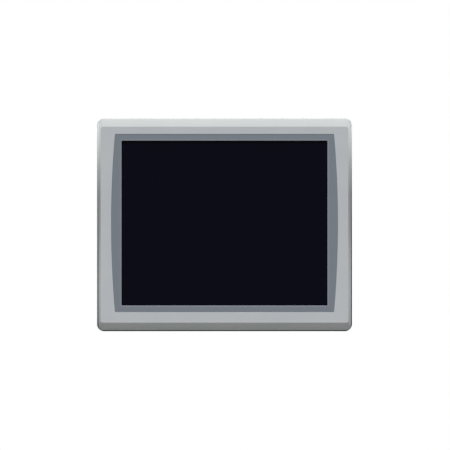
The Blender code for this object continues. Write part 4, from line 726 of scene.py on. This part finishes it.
through = 4.0                   # how far a cutter reaches in through a wall
past = 3.0                      # and how far it starts outside


def coverScrews():
    # where the four cover screws meet the housing
    far = coverSizes["screwX"]
    return [(x, z) for z in coverSizes["screwLevels"] for x in (-far, far)]


def leverPlace(name):
    # the lever's own frame: origin on the wall at its hinge, Z straight out of the wall
    joint = next(j for j in frame["joints"] if j["child"] == name)
    axis = Vector(joint["axis"])
    turn = math.atan2(axis.x, axis.z)
    return Matrix.Translation(Vector(joint["pos_m"])) @ Matrix.Rotation(turn, 4, "Y")


leverNames = [n for n in frame["bodies"] if n.startswith("mounting_lever_")]


def addTray(bm, size, middle, front, back, radius, wall, bend):
    # an open box with rounded corners and a bent rear edge
    inner = [v - 2 * wall for v in size]
    innerRadius = max(radius - wall, 0.6)
    loops = [addOutline(bm, inner, back - wall, innerRadius, middle, cuts=0),
             addOutline(bm, inner, front, innerRadius, middle, cuts=0),
             addOutline(bm, size, front, radius, middle, cuts=0),
             addOutline(bm, size, back, radius, middle, cuts=0)]
    joinLoops(bm, loops)
    bmesh.ops.edgeloop_fill(bm, edges=loops[0])
    bmesh.ops.edgeloop_fill(bm, edges=loops[3])
    bmesh.ops.recalc_face_normals(bm, faces=bm.faces)
    bmesh.ops.bevel(bm, geom=loops[3], offset=bend * mm, segments=5, profile=0.5,
                    affect="EDGES", material=-1)


def makeHousing():
    s = housingSizes
    low, high = boxMm("rear_housing")
    size = (high.x - low.x, high.z - low.z)
    bm = bmesh.new()
    addTray(bm, size, 0.0, s["front"], s["back"], s["radius"], s["wall"], s["bend"])
    cutters = bmesh.new()
    half = s["ventHalf"]
    wallMiddle = size[1] / 2 - s["wall"] / 2
    for i in range(s["vents"]):
        x = (i - (s["vents"] - 1) / 2) * s["ventPitch"]
        for level in (wallMiddle, -wallMiddle):
            addBlock(cutters, (x - half, s["ventLow"], level - past),
                     (x + half, s["ventHigh"], level + past), "Z", s["ventRadius"], 3)
        addBlock(cutters, (x - half, s["back"] - through, s["backVentLow"]),
                 (x + half, s["back"] + 2, s["backVentHigh"]), "Y", s["ventRadius"], 3)
    for x, z in postPlaces() + coverScrews():
        addRod(cutters, (x, s["back"], z), s["screwHole"], 2 * through, "Y", 20)
    x, z = s["groundPlace"]
    addRod(cutters, (x, s["back"], z), s["groundHole"], 2 * through, "Y", 20)
    # the display's cable passes through the tray
    low, high = s["cableLow"], s["cableHigh"]
    addBlock(cutters, (low[0], s["back"] - through, low[1]), (high[0], s["back"] + 2, high[1]),
             "Y", s["cableRadius"])
    bm = combine(bm, cutters)
    # each lever goes in through a notched hole
    rounds, notches = bmesh.new(), bmesh.new()
    notchX, notchY = s["leverNotch"]
    for name in leverNames:
        place = leverPlace(name)
        old = set(rounds.verts)
        addRod(rounds, (0, 0, 0), s["leverHole"], 2 * through, "Z", 32)
        bmesh.ops.transform(rounds, matrix=place, verts=[v for v in rounds.verts if v not in old])
        old = set(notches.verts)
        addBlock(notches, (-notchX, -notchY, -through), (notchX, notchY, through), "Z", 1.0, 3)
        turn = place @ Matrix.Rotation(math.radians(s["leverNotchAngle"]), 4, "Z")
        bmesh.ops.transform(notches, matrix=turn, verts=[v for v in notches.verts if v not in old])
    bm = combine(bm, rounds)
    bm = combine(bm, notches)
    # four hexagonal standoffs carry the main board
    posts = bmesh.new()
    for z in s["standoffLevels"]:
        for x in (-s["standoffX"], s["standoffX"]):
            addRod(posts, (x, s["standoffMiddle"], z), s["standoffRadius"],
                   s["standoffLength"], "Y", 6)
    bm = combine(bm, posts, "UNION")
    return finishPiece("housing", bm, ["housing"], ["rear_housing"])


def portOpenings():
    # (low, high) of each port's box through the cover's lower wall, with some play
    play, bottom = coverSizes["portPlay"], coverSizes["bottom"]
    names = ["power_header", "ethernet_jack_1", "ethernet_jack_2", "usb_host_port_1",
             "usb_host_port_2", "usb_device_port", "dip_switch_base"]
    for name in names:
        low, high = boxMm(name)
        yield ((low.x - play, low.y - play, bottom - past),
               (high.x + play, high.y + play, bottom + through))


def makeCover():
    s = coverSizes
    middle = (s["bottom"] + s["top"]) / 2
    size = (2 * s["halfWidth"], s["top"] - s["bottom"])
    bm = bmesh.new()
    addTray(bm, size, middle, s["front"], s["back"], s["radius"], s["wall"], s["bend"])
    flanges = bmesh.new()
    for side in (-1, 1):
        ends = sorted((side * (s["halfWidth"] - s["flangeLap"]),
                       side * (s["halfWidth"] + s["flange"])))
        addBlock(flanges, (ends[0], s["front"], s["bottom"] + s["flangeInset"]),
                 (ends[1], s["front"] + s["flangeSheet"], s["top"] - s["flangeInset"]), "Y",
                 s["flangeFillet"], 3)
    bm = combine(bm, flanges, "UNION")
    cutters = bmesh.new()
    for low, high in portOpenings():
        addBlock(cutters, low, high, "Z", s["portRadius"], 2)
    for x, z in coverScrews():
        addRod(cutters, (x, s["front"], z), s["screwHole"], 2 * through, "Y", 20)
    for name in ("light_pipe_1", "light_pipe_2", "reset_button"):
        low, high = boxMm(name)
        addRod(cutters, ((low.x + high.x) / 2, (low.y + high.y) / 2, s["bottom"]), s["pipeHole"],
               2 * through, "Z", 24)
    # the doors' openings and the bores for their pins
    addBlock(cutters, s["cardLow"], s["cardHigh"], "X", s["doorRadius"], 2)
    addBlock(cutters, s["batteryLow"], s["batteryHigh"], "Y", s["doorRadius"], 2)
    half = s["ventHalf"]
    for i in range(s["backVents"]):
        x = i * s["ventPitch"]
        addBlock(cutters, (x - half, *s["backVentLow"]), (x + half, *s["backVentHigh"]), "Y",
                 s["ventRadius"], 3)
    for i in range(s["topVents"]):
        x = (i - (s["topVents"] - 1) / 2) * s["ventPitch"]
        addBlock(cutters, (x - half, s["topVentLow"], s["top"] - through),
                 (x + half, s["topVentHigh"], s["top"] + past), "Z", s["ventRadius"], 3)
    addRod(cutters, s["cardPin"], s["pinRadius"], s["cardPinLength"], "Z", 16)
    addRod(cutters, s["batteryPin"], s["pinRadius"], s["batteryPinLength"], "X", 16)
    bm = combine(bm, cutters)
    return finishPiece("moduleCover", bm, ["zinc"], ["module_cover"])


labelSizes = {"low": (-97.0, 18.0), "high": (-27.0, 66.0), "front": 63.5, "back": 63.69,
              "radius": 2.0, "margin": 1.5, "line": 0.6, "band": 9.0}


def makeLabel():
    # a blank rating label on the cover: printed border line and header band, no lettering
    s = labelSizes
    bm = bmesh.new()
    addBlock(bm, (s["low"][0], s["front"], s["low"][1]), (s["high"][0], s["back"], s["high"][1]),
             "Y", s["radius"], 6)
    field = max(bm.faces, key=lambda face: face.calc_center_median().y)
    bmesh.ops.inset_region(bm, faces=[field], thickness=s["margin"] * mm, use_even_offset=True)
    line = bmesh.ops.inset_region(bm, faces=[field], thickness=s["line"] * mm,
                                  use_even_offset=True)["faces"]
    paint(line, 1)
    height = (s["high"][1] - s["margin"] - s["band"]) * mm
    bmesh.ops.bisect_plane(bm, geom=[field, *field.edges, *field.verts],
                           plane_co=(0, 0, height), plane_no=(0, 0, 1))
    backs = [face for face in bm.faces if face.normal.y > 0.9 and face not in line]
    band = max(backs, key=lambda face: face.calc_area() * (face.calc_center_median().z > height))
    paint([band], 1)
    return finishPiece("ratingLabel", bm, ["labelFilm", "labelInk"], [], sharp=20)


screwSizes = {"headRadius": 4.0, "headHeight": 2.6, "shank": 2.0, "length": 8.0, "recess": 1.9,
              "slot": 0.42}
groundSizes = {"headRadius": 5.2, "headHeight": 3.6, "shank": 2.5, "length": 9.0, "recess": 2.5,
               "slot": 0.42}


def screwShape(s):
    # a pan-head screw along Z with a cross recess; its seat is z = 0
    r, h = s["headRadius"], s["headHeight"]
    bm = bmesh.new()
    profile = [(0, h), (0.45 * r, 0.985 * h), (0.7 * r, 0.92 * h), (0.88 * r, 0.76 * h),
               (0.98 * r, 0.5 * h), (r, 0.28 * h), (0.97 * r, 0.0), (s["shank"], 0.0),
               (s["shank"], 1.0 - s["length"]), (0.6 * s["shank"], -s["length"]),
               (0, -s["length"])]
    addTurned(bm, profile, Matrix.Identity(4), 32)
    for turn in (0, 90):
        tool = bmesh.new()
        addBlock(tool, (-s["recess"], -s["slot"], 0.45 * h), (s["recess"], s["slot"], h + 1))
        # the recess narrows towards its floor
        low = [v for v in tool.verts if v.co.z < h * mm]
        bmesh.ops.scale(tool, vec=(0.55, 0.7, 1), verts=low)
        bmesh.ops.rotate(tool, matrix=Matrix.Rotation(math.radians(turn), 3, "Z"),
                         verts=tool.verts)
        bm = combine(bm, tool)
    mesh = bpy.data.meshes.new("screwShape")
    bm.to_mesh(mesh)
    bm.free()
    return mesh


def makeScrews():
    shapes = {"pan": screwShape(screwSizes), "ground": screwShape(groundSizes)}
    names = [f"housing_screw_{i + 1}" for i in range(6)]
    names += [f"cover_screw_{i + 1}" for i in range(4)]
    # each head is left turned a little further than the one before
    for i, name in enumerate(names + ["ground_screw"]):
        kind = "ground" if name == "ground_screw" else "pan"
        sizes = groundSizes if kind == "ground" else screwSizes
        low, high = boxMm(name)
        bm = bmesh.new()
        bm.from_mesh(shapes[kind])
        seat = high.y - sizes["headHeight"]
        place = backwards((low.x + high.x) / 2, seat, (low.z + high.z) / 2)
        bmesh.ops.transform(bm, matrix=place @ Matrix.Rotation(0.7 * i, 4, "Z"), verts=bm.verts)
        finishPiece(name.replace("_", "-"), bm, ["screw"], [name])
    for mesh in shapes.values():
        bpy.data.meshes.remove(mesh)


leverSizes = {"thickness": 6.0, "wallGap": 0.4, "fillet": 0.35, "rim": 1.6, "pocket": 1.6,
              "armAngle": 40.0, "hubRadius": 5.2, "hubMiddle": 1.3, "hubLength": 3.2,
              "ribs": 4, "ribStart": 19.0, "ribPitch": 3.4, "ribWidth": 1.3, "ribHalf": 3.6,
              "ribDepth": 2.6, "ribRise": 0.1, "slotHalf": (3.8, 0.7), "slotDepth": 0.9}


def makeLevers():
    s = leverSizes
    for name in leverNames:
        place = leverPlace(name)
        bm = copyNode(name)
        bmesh.ops.transform(bm, matrix=place.inverted(), verts=bm.verts)
        top = s["wallGap"] + s["thickness"]
        outer = [f for f in bm.faces
                 if f.normal.z > 0.99 and f.calc_center_median().z > (top - 0.01) * mm]
        # a shallow pocket follows the outline, as in a cored moulding
        bmesh.ops.inset_region(bm, faces=outer, thickness=s["rim"] * mm, use_even_offset=True)
        pocket = [f for f in outer if f.is_valid]
        verts = {v for f in pocket for v in f.verts}
        bmesh.ops.translate(bm, vec=(0, 0, -s["pocket"] * mm), verts=list(verts))
        # a hub round the pin and finger ribs along the arm
        extra = bmesh.new()
        addRod(extra, (0, 0, top - s["hubMiddle"]), s["hubRadius"], s["hubLength"], "Z", 32)
        turn = Matrix.Rotation(math.radians(s["armAngle"]), 4, "Z")
        for i in range(s["ribs"]):
            old = set(extra.verts)
            x = s["ribStart"] + s["ribPitch"] * i
            addBlock(extra, (x, -s["ribHalf"], top - s["ribDepth"]),
                     (x + s["ribWidth"], s["ribHalf"], top + s["ribRise"]))
            bmesh.ops.transform(extra, matrix=turn, verts=[v for v in extra.verts if v not in old])
        bm = combine(bm, extra, "UNION")
        # a driver slot in the hub
        slot = bmesh.new()
        length, width = s["slotHalf"]
        addBlock(slot, (-length, -width, top - s["slotDepth"]), (length, width, top + past))
        bmesh.ops.rotate(slot, matrix=turn.to_3x3(), verts=slot.verts)
        bm = combine(bm, slot)
        bmesh.ops.transform(bm, matrix=place, verts=bm.verts)
        finishPiece(name.replace("_", "-"), bm, ["nylon"], [name], name,
                    fillet=s["fillet"], segments=2)


ethernetSizes = {
    "linerHalf": 5.9, "linerY": (48.0, 56.0), "linerZ": (9.0, 12.9), "wires": 8,
    "wirePitch": 1.02, "wireHalf": 0.2, "wireY": (47.9, 48.3), "wireZ": (2.0, 9.0),
    "wireSlant": 3.0, "lightX": 5.7, "lightHalf": 1.2, "lightY": (56.9, 58.3),
    "lightZ": (-0.05, 1.5),
}


def makeEthernet():
    s = ethernetSizes
    for node in ("ethernet_jack_1", "ethernet_jack_2"):
        low, high = boxMm(node)
        middle = (low.x + high.x) / 2
        bm = copyNode(node)
        # a dark liner inside the mouth, eight gold wires, two light windows beside the latch
        boxes = [(middle, s["linerHalf"], s["linerY"], s["linerZ"], 1)]
        for i in range(s["wires"]):
            x = middle + s["wirePitch"] * (i - (s["wires"] - 1) / 2)
            boxes.append((x, s["wireHalf"], s["wireY"], s["wireZ"], 2))
        for side, skin in ((-1, 3), (1, 4)):
            boxes.append((middle + side * s["lightX"], s["lightHalf"], s["lightY"], s["lightZ"],
                          skin))
        for x, half, depths, levels, skin in boxes:
            faces = addBlock(bm, (x - half, depths[0], low.z + levels[0]),
                             (x + half, depths[1], low.z + levels[1]))
            paint(faces, skin)
            if skin == 2:
                # the wires slant across the mouth
                halfway = (low.z + sum(levels) / 2) * mm
                ends = list({v for f in faces for v in f.verts if v.co.z > halfway})
                bmesh.ops.translate(bm, vec=(0, s["wireSlant"] * mm, 0), verts=ends)
        finishPiece(node.replace("_", "-"), bm, ["nickel", "black", "gold", "green", "amber"],
                    [node], fillet=0.15, segments=2)


usbSizes = {
    "wall": 0.7, "lip": 3.0, "contactHalf": 0.45, "contactY": (0.02, 0.14),
    "contactZ": (1.5, 8.5), "hostContacts": 4, "hostPitch": 1.875, "hostTongue": 48.65,
    "deviceContacts": 2, "devicePitch": 1.5, "deviceTongue": 1.6,
}


def makeUsb():
    s = usbSizes
    for node in ("usb_host_port_1", "usb_host_port_2", "usb_device_port"):
        low, high = boxMm(node)
        middle = (low.x + high.x) / 2
        bm = copyNode(node)
        # the tongue and the mouth's floor are plastic, the shell is metal
        inset = Vector((s["wall"], s["wall"], s["wall"]))
        near, far = low + inset, high - inset
        far.z = high.z - s["lip"]
        for face in bm.faces:
            spot = face.calc_center_median() / mm
            if all(a < b < c for a, b, c in zip(near, spot, far)):
                face.material_index = 1
        host = node.startswith("usb_host")
        if host:
            count, pitch, tongue = s["hostContacts"], s["hostPitch"], s["hostTongue"]
        else:
            count, pitch = s["deviceContacts"], s["devicePitch"]
            tongue = (low.y + high.y) / 2 + s["deviceTongue"]
        half = s["contactHalf"]
        for i in range(count):
            x = middle + pitch * (i - (count - 1) / 2)
            paint(addBlock(bm, (x - half, tongue + s["contactY"][0], low.z + s["contactZ"][0]),
                           (x + half, tongue + s["contactY"][1], low.z + s["contactZ"][1])), 2)
        finishPiece(node.replace("_", "-"), bm, ["nickel", "black" if host else "white", "gold"],
                    [node], fillet=0.15, segments=2)


powerSizes = {
    "polePitch": 5.08, "pinHalf": 0.5, "pinY": (50.9, 51.9), "pinZ": (8.4, 9.2),
    "screwLevel": 7.0, "screwBore": 1.9, "boreLength": 2.4, "screwSeat": 1.15,
    "grooves": (3.0, 5.5, 8.0, 10.5), "grooveDepth": 0.4, "grooveEnd": 2.0, "grooveHeight": 1.1,
}


def makePower():
    s = powerSizes
    bm = copyNode("power_header")
    low, high = boxMm("power_header")
    middle = (low.x + high.x) / 2
    poles = [middle + s["polePitch"] * (i - 1) for i in range(3)]
    half = s["pinHalf"]
    for x in poles:
        # a square pin at the back of each pole's chamber
        paint(addBlock(bm, (x - half, s["pinY"][0], low.z + s["pinZ"][0]),
                       (x + half, s["pinY"][1], low.z + s["pinZ"][1])), 1)
    finishPiece("power-header", bm, ["green", "screw"], ["power_header"],
                fillet=0.25, segments=2)
    bm = copyNode("power_plug")
    low, high = boxMm("power_plug")
    level = low.z + s["screwLevel"]
    tool = bmesh.new()
    for x in poles:
        addRod(tool, (x, high.y, level), s["screwBore"], s["boreLength"], "Y", 28)
    deep, end = s["grooveDepth"], s["grooveEnd"]
    for x in (low.x, high.x):
        # grip grooves in the plug's sides
        for groove in s["grooves"]:
            z = low.z + groove
            addBlock(tool, (x - deep, low.y + end, z),
                     (x + deep, high.y - end, z + s["grooveHeight"]))
    bm = combine(bm, tool)
    # a clamp screw in each bore
    profile = [(0, 0.6), (1.3, 0.6), (1.6, 0.3), (1.6, -0.02), (0, -0.02)]
    for i, x in enumerate(poles):
        turn = Matrix.Rotation(0.5 + i, 4, "Z")
        paint(addTurned(bm, profile, backwards(x, high.y - s["screwSeat"], level) @ turn, 24), 1)
    finishPiece("power-plug", bm, ["green", "screw"], ["power_plug"],
                "power_plug", fillet=0.25, segments=2)


resetSizes = {"tip": 1.25, "stem": 1.5, "collarRadius": 2.3, "collar": -97.7, "collarHeight": 0.8}


def makeSmallParts():
    # DIP switch and its two sliders
    finishPiece("dip-switch", copyNode("dip_switch_base"), ["black"], ["dip_switch_base"],
                fillet=0.2, segments=2)
    for i in (1, 2):
        node = f"dip_slider_{i}"
        finishPiece(f"dip-slider-{i}", copyNode(node), ["white"], [node], node,
                    fillet=0.15, segments=2)
    # reset button: a round stem with a dished end and a collar
    low, high = boxMm("reset_button")
    s = resetSizes
    place = Matrix.Translation(Vector(((low.x + high.x) / 2, (low.y + high.y) / 2, 0)) * mm)
    stem, wide, start = s["stem"], s["collarRadius"], s["collar"]
    end = start + s["collarHeight"]
    profile = [(0, low.z + 0.15), (0.9, low.z + 0.05), (s["tip"], low.z), (stem, low.z + 0.25),
               (stem, start), (wide, start), (wide, end), (stem, end), (stem, high.z),
               (0, high.z)]
    bm = bmesh.new()
    addTurned(bm, profile, place, 32)
    finishPiece("reset-button", bm, ["black"], ["reset_button"], "reset_button")
    finishPiece("reset-switch", copyNode("reset_switch"), ["nickel"], ["reset_switch"],
                fillet=0.3, segments=2)
    # light pipes with domed ends
    for i in (1, 2):
        node = f"light_pipe_{i}"
        low, high = boxMm(node)
        r = (high.x - low.x) / 2
        profile = [(0, low.z), (0.5 * r, low.z + 0.1), (0.85 * r, low.z + 0.35), (r, low.z + 0.8),
                   (r, high.z), (0, high.z)]
        bm = bmesh.new()
        place = Matrix.Translation(Vector(((low.x + high.x) / 2, (low.y + high.y) / 2, 0)) * mm)
        addTurned(bm, profile, place, 32)
        finishPiece(f"light-pipe-{i}", bm, ["clear"], [node])


boardPartSizes = {
    "pitch": 12.0, "edge": 8.0, "room": 4.6, "tallest": 9.0,
    "canRadius": 3.1, "canHeight": 8.6, "chip": 3.2, "chipHeight": 1.3, "legs": 6, "leg": 0.4,
    "coil": 3.1, "coilHeight": 3.4, "resistor": (1.6, 0.55, 0.8), "resistorLevels": (-2.6, 0, 2.6),
}


def addBoardPart(bm, kind):
    # one soldered part on the plane y = 0; skins: 0 black, 1 nickel, 2 aluminium, 3 charcoal
    s = boardPartSizes
    if kind == "can":
        r, h = s["canRadius"], s["canHeight"]
        paint(addBlock(bm, (-r, 0, -r), (r, 0.9, r), "Y", 0.8, 2), 0)
        can = addTurned(bm, [(0, 0.9), (0.94 * r, 0.9), (0.94 * r, 1.6), (0.88 * r, 1.9),
                             (0.94 * r, 2.2), (0.94 * r, h - 0.4), (0.86 * r, h), (0, h)],
                        Matrix.Rotation(-math.pi / 2, 4, "X"), 24)
        paint(can, 2)
    elif kind == "chip":
        r = s["chip"]
        paint(addBlock(bm, (-r, 0.1, -r), (r, s["chipHeight"], r), "Y", 0.25, 2), 0)
        for i in range(s["legs"]):
            # the legs are 1 mm apart
            level = i - (s["legs"] - 1) / 2
            for side in (-1, 1):
                ends = sorted((side * (r - 0.1), side * (r + 0.9)))
                paint(addBlock(bm, (ends[0], 0, level - s["leg"] / 2),
                               (ends[1], 0.35, level + s["leg"] / 2)), 1)
    elif kind == "coil":
        r = s["coil"]
        paint(addBlock(bm, (-r, 0, -r), (r, s["coilHeight"], r), "Y", 1.2, 3), 3)
    else:
        half, thick, deep = s["resistor"]
        for level in s["resistorLevels"]:
            paint(addBlock(bm, (-half, 0, level - deep), (half, thick, level + deep), "Y", 0.1, 1),
                  0)
            for side in (-1, 1):
                ends = sorted((side * (half - 0.4), side * (half + 0.05)))
                paint(addBlock(bm, (ends[0], 0, level - deep - 0.05),
                               (ends[1], thick + 0.05, level + deep + 0.05)), 1)


def makeBoardParts():
    # capacitors, chips, coils and resistors wherever the main board is free
    s = boardPartSizes
    low, high = boxMm("main_board")
    taken = [(a, b) for a, b in (boxMm(node) for node in frame["nodes"])
             if b.x - a.x < high.x - low.x and b.y > high.y and a.y < high.y + s["tallest"]]
    kinds = ("chip", "resistors", "can", "resistors", "coil", "resistors", "can")
    shapes = {}
    for kind in dict.fromkeys(kinds):
        part = bmesh.new()
        addBoardPart(part, kind)
        shapes[kind] = bpy.data.meshes.new(kind)
        part.to_mesh(shapes[kind])
        part.free()
    columns = int((high.x - low.x - 2 * s["edge"]) / s["pitch"]) + 1
    rows = int((high.z - low.z - 2 * s["edge"]) / s["pitch"]) + 1
    bm = bmesh.new()
    for row in range(rows):
        for column in range(columns):
            x, z = low.x + s["edge"] + column * s["pitch"], low.z + s["edge"] + row * s["pitch"]
            if any(a.x - s["room"] < x < b.x + s["room"] and a.z - s["room"] < z < b.z + s["room"]
                   for a, b in taken):
                continue
            first = len(bm.verts)
            bm.from_mesh(shapes[kinds[(3 * row + 2 * column + row * column) % len(kinds)]])
            bm.verts.ensure_lookup_table()
            bmesh.ops.translate(bm, vec=Vector((x, high.y, z)) * mm, verts=bm.verts[first:])
    for mesh in shapes.values():
        bpy.data.meshes.remove(mesh)
    return finishPiece("boardParts", bm, ["black", "nickel", "sink", "nylon"], [])


doorSizes = {
    "fingerY": (1.1, 2.3), "fingerZ": (26.0, 42.0), "fingerDepth": 0.5, "fingerRadius": 0.55,
    "coinLow": (-76.0, -0.6, -17.2), "coinHigh": (-64.0, 0.5, -15.4), "coinRadius": 0.85,
    "lines": 5, "lineX": (-80.0, -60.0), "lineStart": -22.5, "linePitch": 1.6,
    "lineWidth": 0.7, "lineDepth": 0.3, "lineRadius": 0.3,
}


def makeDoors():
    # card door: a finger groove near its free edge
    s = doorSizes
    bm = copyNode("sd_door")
    low, high = boxMm("sd_door")
    tool = bmesh.new()
    deep = s["fingerDepth"]
    addBlock(tool, (high.x - deep, low.y + s["fingerY"][0], s["fingerZ"][0]),
             (high.x + deep, low.y + s["fingerY"][1], s["fingerZ"][1]), "X", s["fingerRadius"], 3)
    bm = combine(bm, tool)
    finishPiece("sd-door", bm, ["black"], ["sd_door"], "sd_door", fillet=0.2,
                segments=2)
    # battery door: a coin slot at its free edge and grip lines
    bm = copyNode("battery_door")
    low, high = boxMm("battery_door")
    face = Vector((0, high.y, 0))
    tool = bmesh.new()
    addBlock(tool, face + Vector(s["coinLow"]), face + Vector(s["coinHigh"]), "Y",
             s["coinRadius"], 3)
    start, end = s["lineX"]
    for i in range(s["lines"]):
        z = s["lineStart"] - s["linePitch"] * i
        addBlock(tool, (start, high.y - s["lineDepth"], z),
                 (end, high.y + 0.5, z + s["lineWidth"]), "Y", s["lineRadius"], 2)
    bm = combine(bm, tool)
    finishPiece("battery-door", bm, ["housing"], ["battery_door"], "battery_door",
                fillet=0.2, segments=2)


def makeBattery():
    # a coin cell with a stepped rim, and its holder
    low, high = boxMm("battery_cell")
    r, h = (high.x - low.x) / 2, high.y - low.y
    profile = [(0, h), (0.78 * r, h), (0.8 * r, h - 0.12), (0.93 * r, h - 0.15), (r, h - 0.5),
               (r, 0.5), (0.94 * r, 0.1), (0, 0)]
    bm = bmesh.new()
    addTurned(bm, profile, backwards((low.x + high.x) / 2, low.y, (low.z + high.z) / 2), 48)
    finishPiece("battery-cell", bm, ["nickel"], ["battery_cell"])
    finishPiece("battery-holder", copyNode("battery_holder"), ["black"], ["battery_holder"],
                fillet=0.3, segments=2)


keptSkins = {
    "touch_seal": "sponge", "lcd_frame": "nickel", "lcd_cell": "glass", "light_guide": "clear",
    "led_bar": "white", "lcd_back_tray": "zinc", "display_bracket_left": "zinc",
    "display_bracket_right": "zinc", "display_ribbon": "film", "touch_flex": "film",
    "touch_controller_board": "board", "main_board": "board", "processor": "black",
    "thermal_pad": "pad", "heat_sink": "sink", "sd_card_socket": "nickel",
}


def dressKeptNodes():
    # the rest keep their shape and take a material of their own
    for name, skin in keptSkins.items():
        mesh = frame["nodes"][name].data
        mesh.materials.clear()
        mesh.materials.append(materials[skin])


viewSizes = {"lens": 200.0, "sensor": 36.0, "frameWidth": 672.4, "x": 0.75, "z": -0.3}
# places and light sizes in metres, powers in watts, the sun's in W/m2
studioSizes = {
    "fillFrom": -0.7, "fillTo": 0.5, "fillLow": 0.03, "fillHigh": 0.19,
    "keyPlace": (0, -1.0, 1.72), "keyPower": 5.35, "keyAngle": 30,
    "rearPlace": (-0.5, 2.2, 1.3), "rearPower": 30, "rearSize": (1.6, 1.0),
    "sidePlace": (1.5, 2.3, 0.35), "sidePowers": (30, 36), "sideSize": (1.0, 1.2),
    "floorSize": 4.0, "floorLevel": -4.0,
}


def aim(thing, place, target=(0, 0, 0)):
    thing.location = place
    thing.rotation_euler = (Vector(target) - Vector(place)).to_track_quat("-Z", "Y").to_euler()


def addLight(name, kind, place, power, target=(0, 0, 0), **settings):
    data = bpy.data.lights.new(name, kind)
    data.energy = power
    for key, value in settings.items():
        setattr(data, key, value)
    light = bpy.data.objects.new(name, data)
    bpy.context.scene.collection.objects.link(light)
    aim(light, place, target)
    return light


def makeCamera():
    # far back with a long lens; frameWidth is what the frame spans at y = 0
    s = viewSizes
    scene = bpy.context.scene
    data = bpy.data.cameras.new("frontCamera")
    data.lens, data.sensor_width = s["lens"], s["sensor"]
    camera = bpy.data.objects.new("frontCamera", data)
    scene.collection.objects.link(camera)
    distance = s["frameWidth"] * s["lens"] / s["sensor"]
    aim(camera, Vector((s["x"], -distance, s["z"])) * mm, Vector((s["x"], 0, s["z"])) * mm)
    scene.camera = camera
    scene.view_settings.view_transform = "Standard"


def makeStudio():
    s = studioSizes
    scene = bpy.context.scene
    # white paper all round; it lights the object only weakly, and least from below
    world = bpy.data.worlds.new("whitePaper")
    world.use_nodes = True
    tree = world.node_tree
    tree.nodes.clear()
    seen = addNode(tree, "Background", {}, {"Color": (1, 1, 1, 1), "Strength": 1.0})
    way = addNode(tree, "TexCoord")
    split = addNode(tree, "SeparateXYZ", {}, {}, {"Vector": (way, "Generated")})
    rise = addNode(tree, "MapRange", {}, {"From Min": s["fillFrom"], "From Max": s["fillTo"],
                   "To Min": s["fillLow"], "To Max": s["fillHigh"]}, {"Value": (split, "Z")})
    fill = addNode(tree, "Background", {}, {"Color": (1, 1, 1, 1)}, {"Strength": (rise, "Result")})
    path = addNode(tree, "LightPath")
    mix = addNode(tree, "MixShader", {}, {},
                  {0: (path, "Is Camera Ray"), 1: (fill, 0), 2: (seen, 0)})
    addNode(tree, "OutputWorld", {}, {}, {"Surface": (mix, 0)})
    scene.world = world
    addLight("overheadKey", "SUN", s["keyPlace"], s["keyPower"], angle=math.radians(s["keyAngle"]))
    wide, high = s["rearSize"]
    addLight("rearSoftbox", "AREA", s["rearPlace"], s["rearPower"], shape="RECTANGLE", size=wide,
             size_y=high)
    x, y, z = s["sidePlace"]
    wide, high = s["sideSize"]
    for side, power in zip((-1, 1), s["sidePowers"]):
        addLight("sideFill", "AREA", (side * x, y, z), power, shape="RECTANGLE", size=wide,
                 size_y=high)
    # the floor lies far below, so that no shadow reaches the straight view
    bm = bmesh.new()
    bmesh.ops.create_grid(bm, x_segments=1, y_segments=1, size=s["floorSize"])
    bmesh.ops.translate(bm, vec=(0, 0, s["floorLevel"]), verts=bm.verts)
    mesh = bpy.data.meshes.new("floor")
    bm.to_mesh(mesh)
    bm.free()
    mesh.materials.append(makeFinish("paleStudioPaint", "#E9E9E7", "#E4E4E2", 0.7, mottle=300,
                                     grain=4, depth=0.02))
    floor = bpy.data.objects.new("floor", mesh)
    scene.collection.objects.link(floor)
    # it shows pale, but throws no light up at the panel's lower slope
    floor.visible_diffuse = False


makeMaterials()
makeCamera()
makeStudio()
print("materials and studio ready")
makeBezel()
makeSurround()
makeGlass()
makeGasket()
print("front done")
makeHousing()
makeCover()
makeLabel()
makeScrews()
print("housing, cover and screws done")
makeLevers()
print("levers done")
makeEthernet()
makeUsb()
makePower()
makeSmallParts()
makeBoardParts()
makeDoors()
makeBattery()
dressKeptNodes()
print("ports, doors and kept parts done")
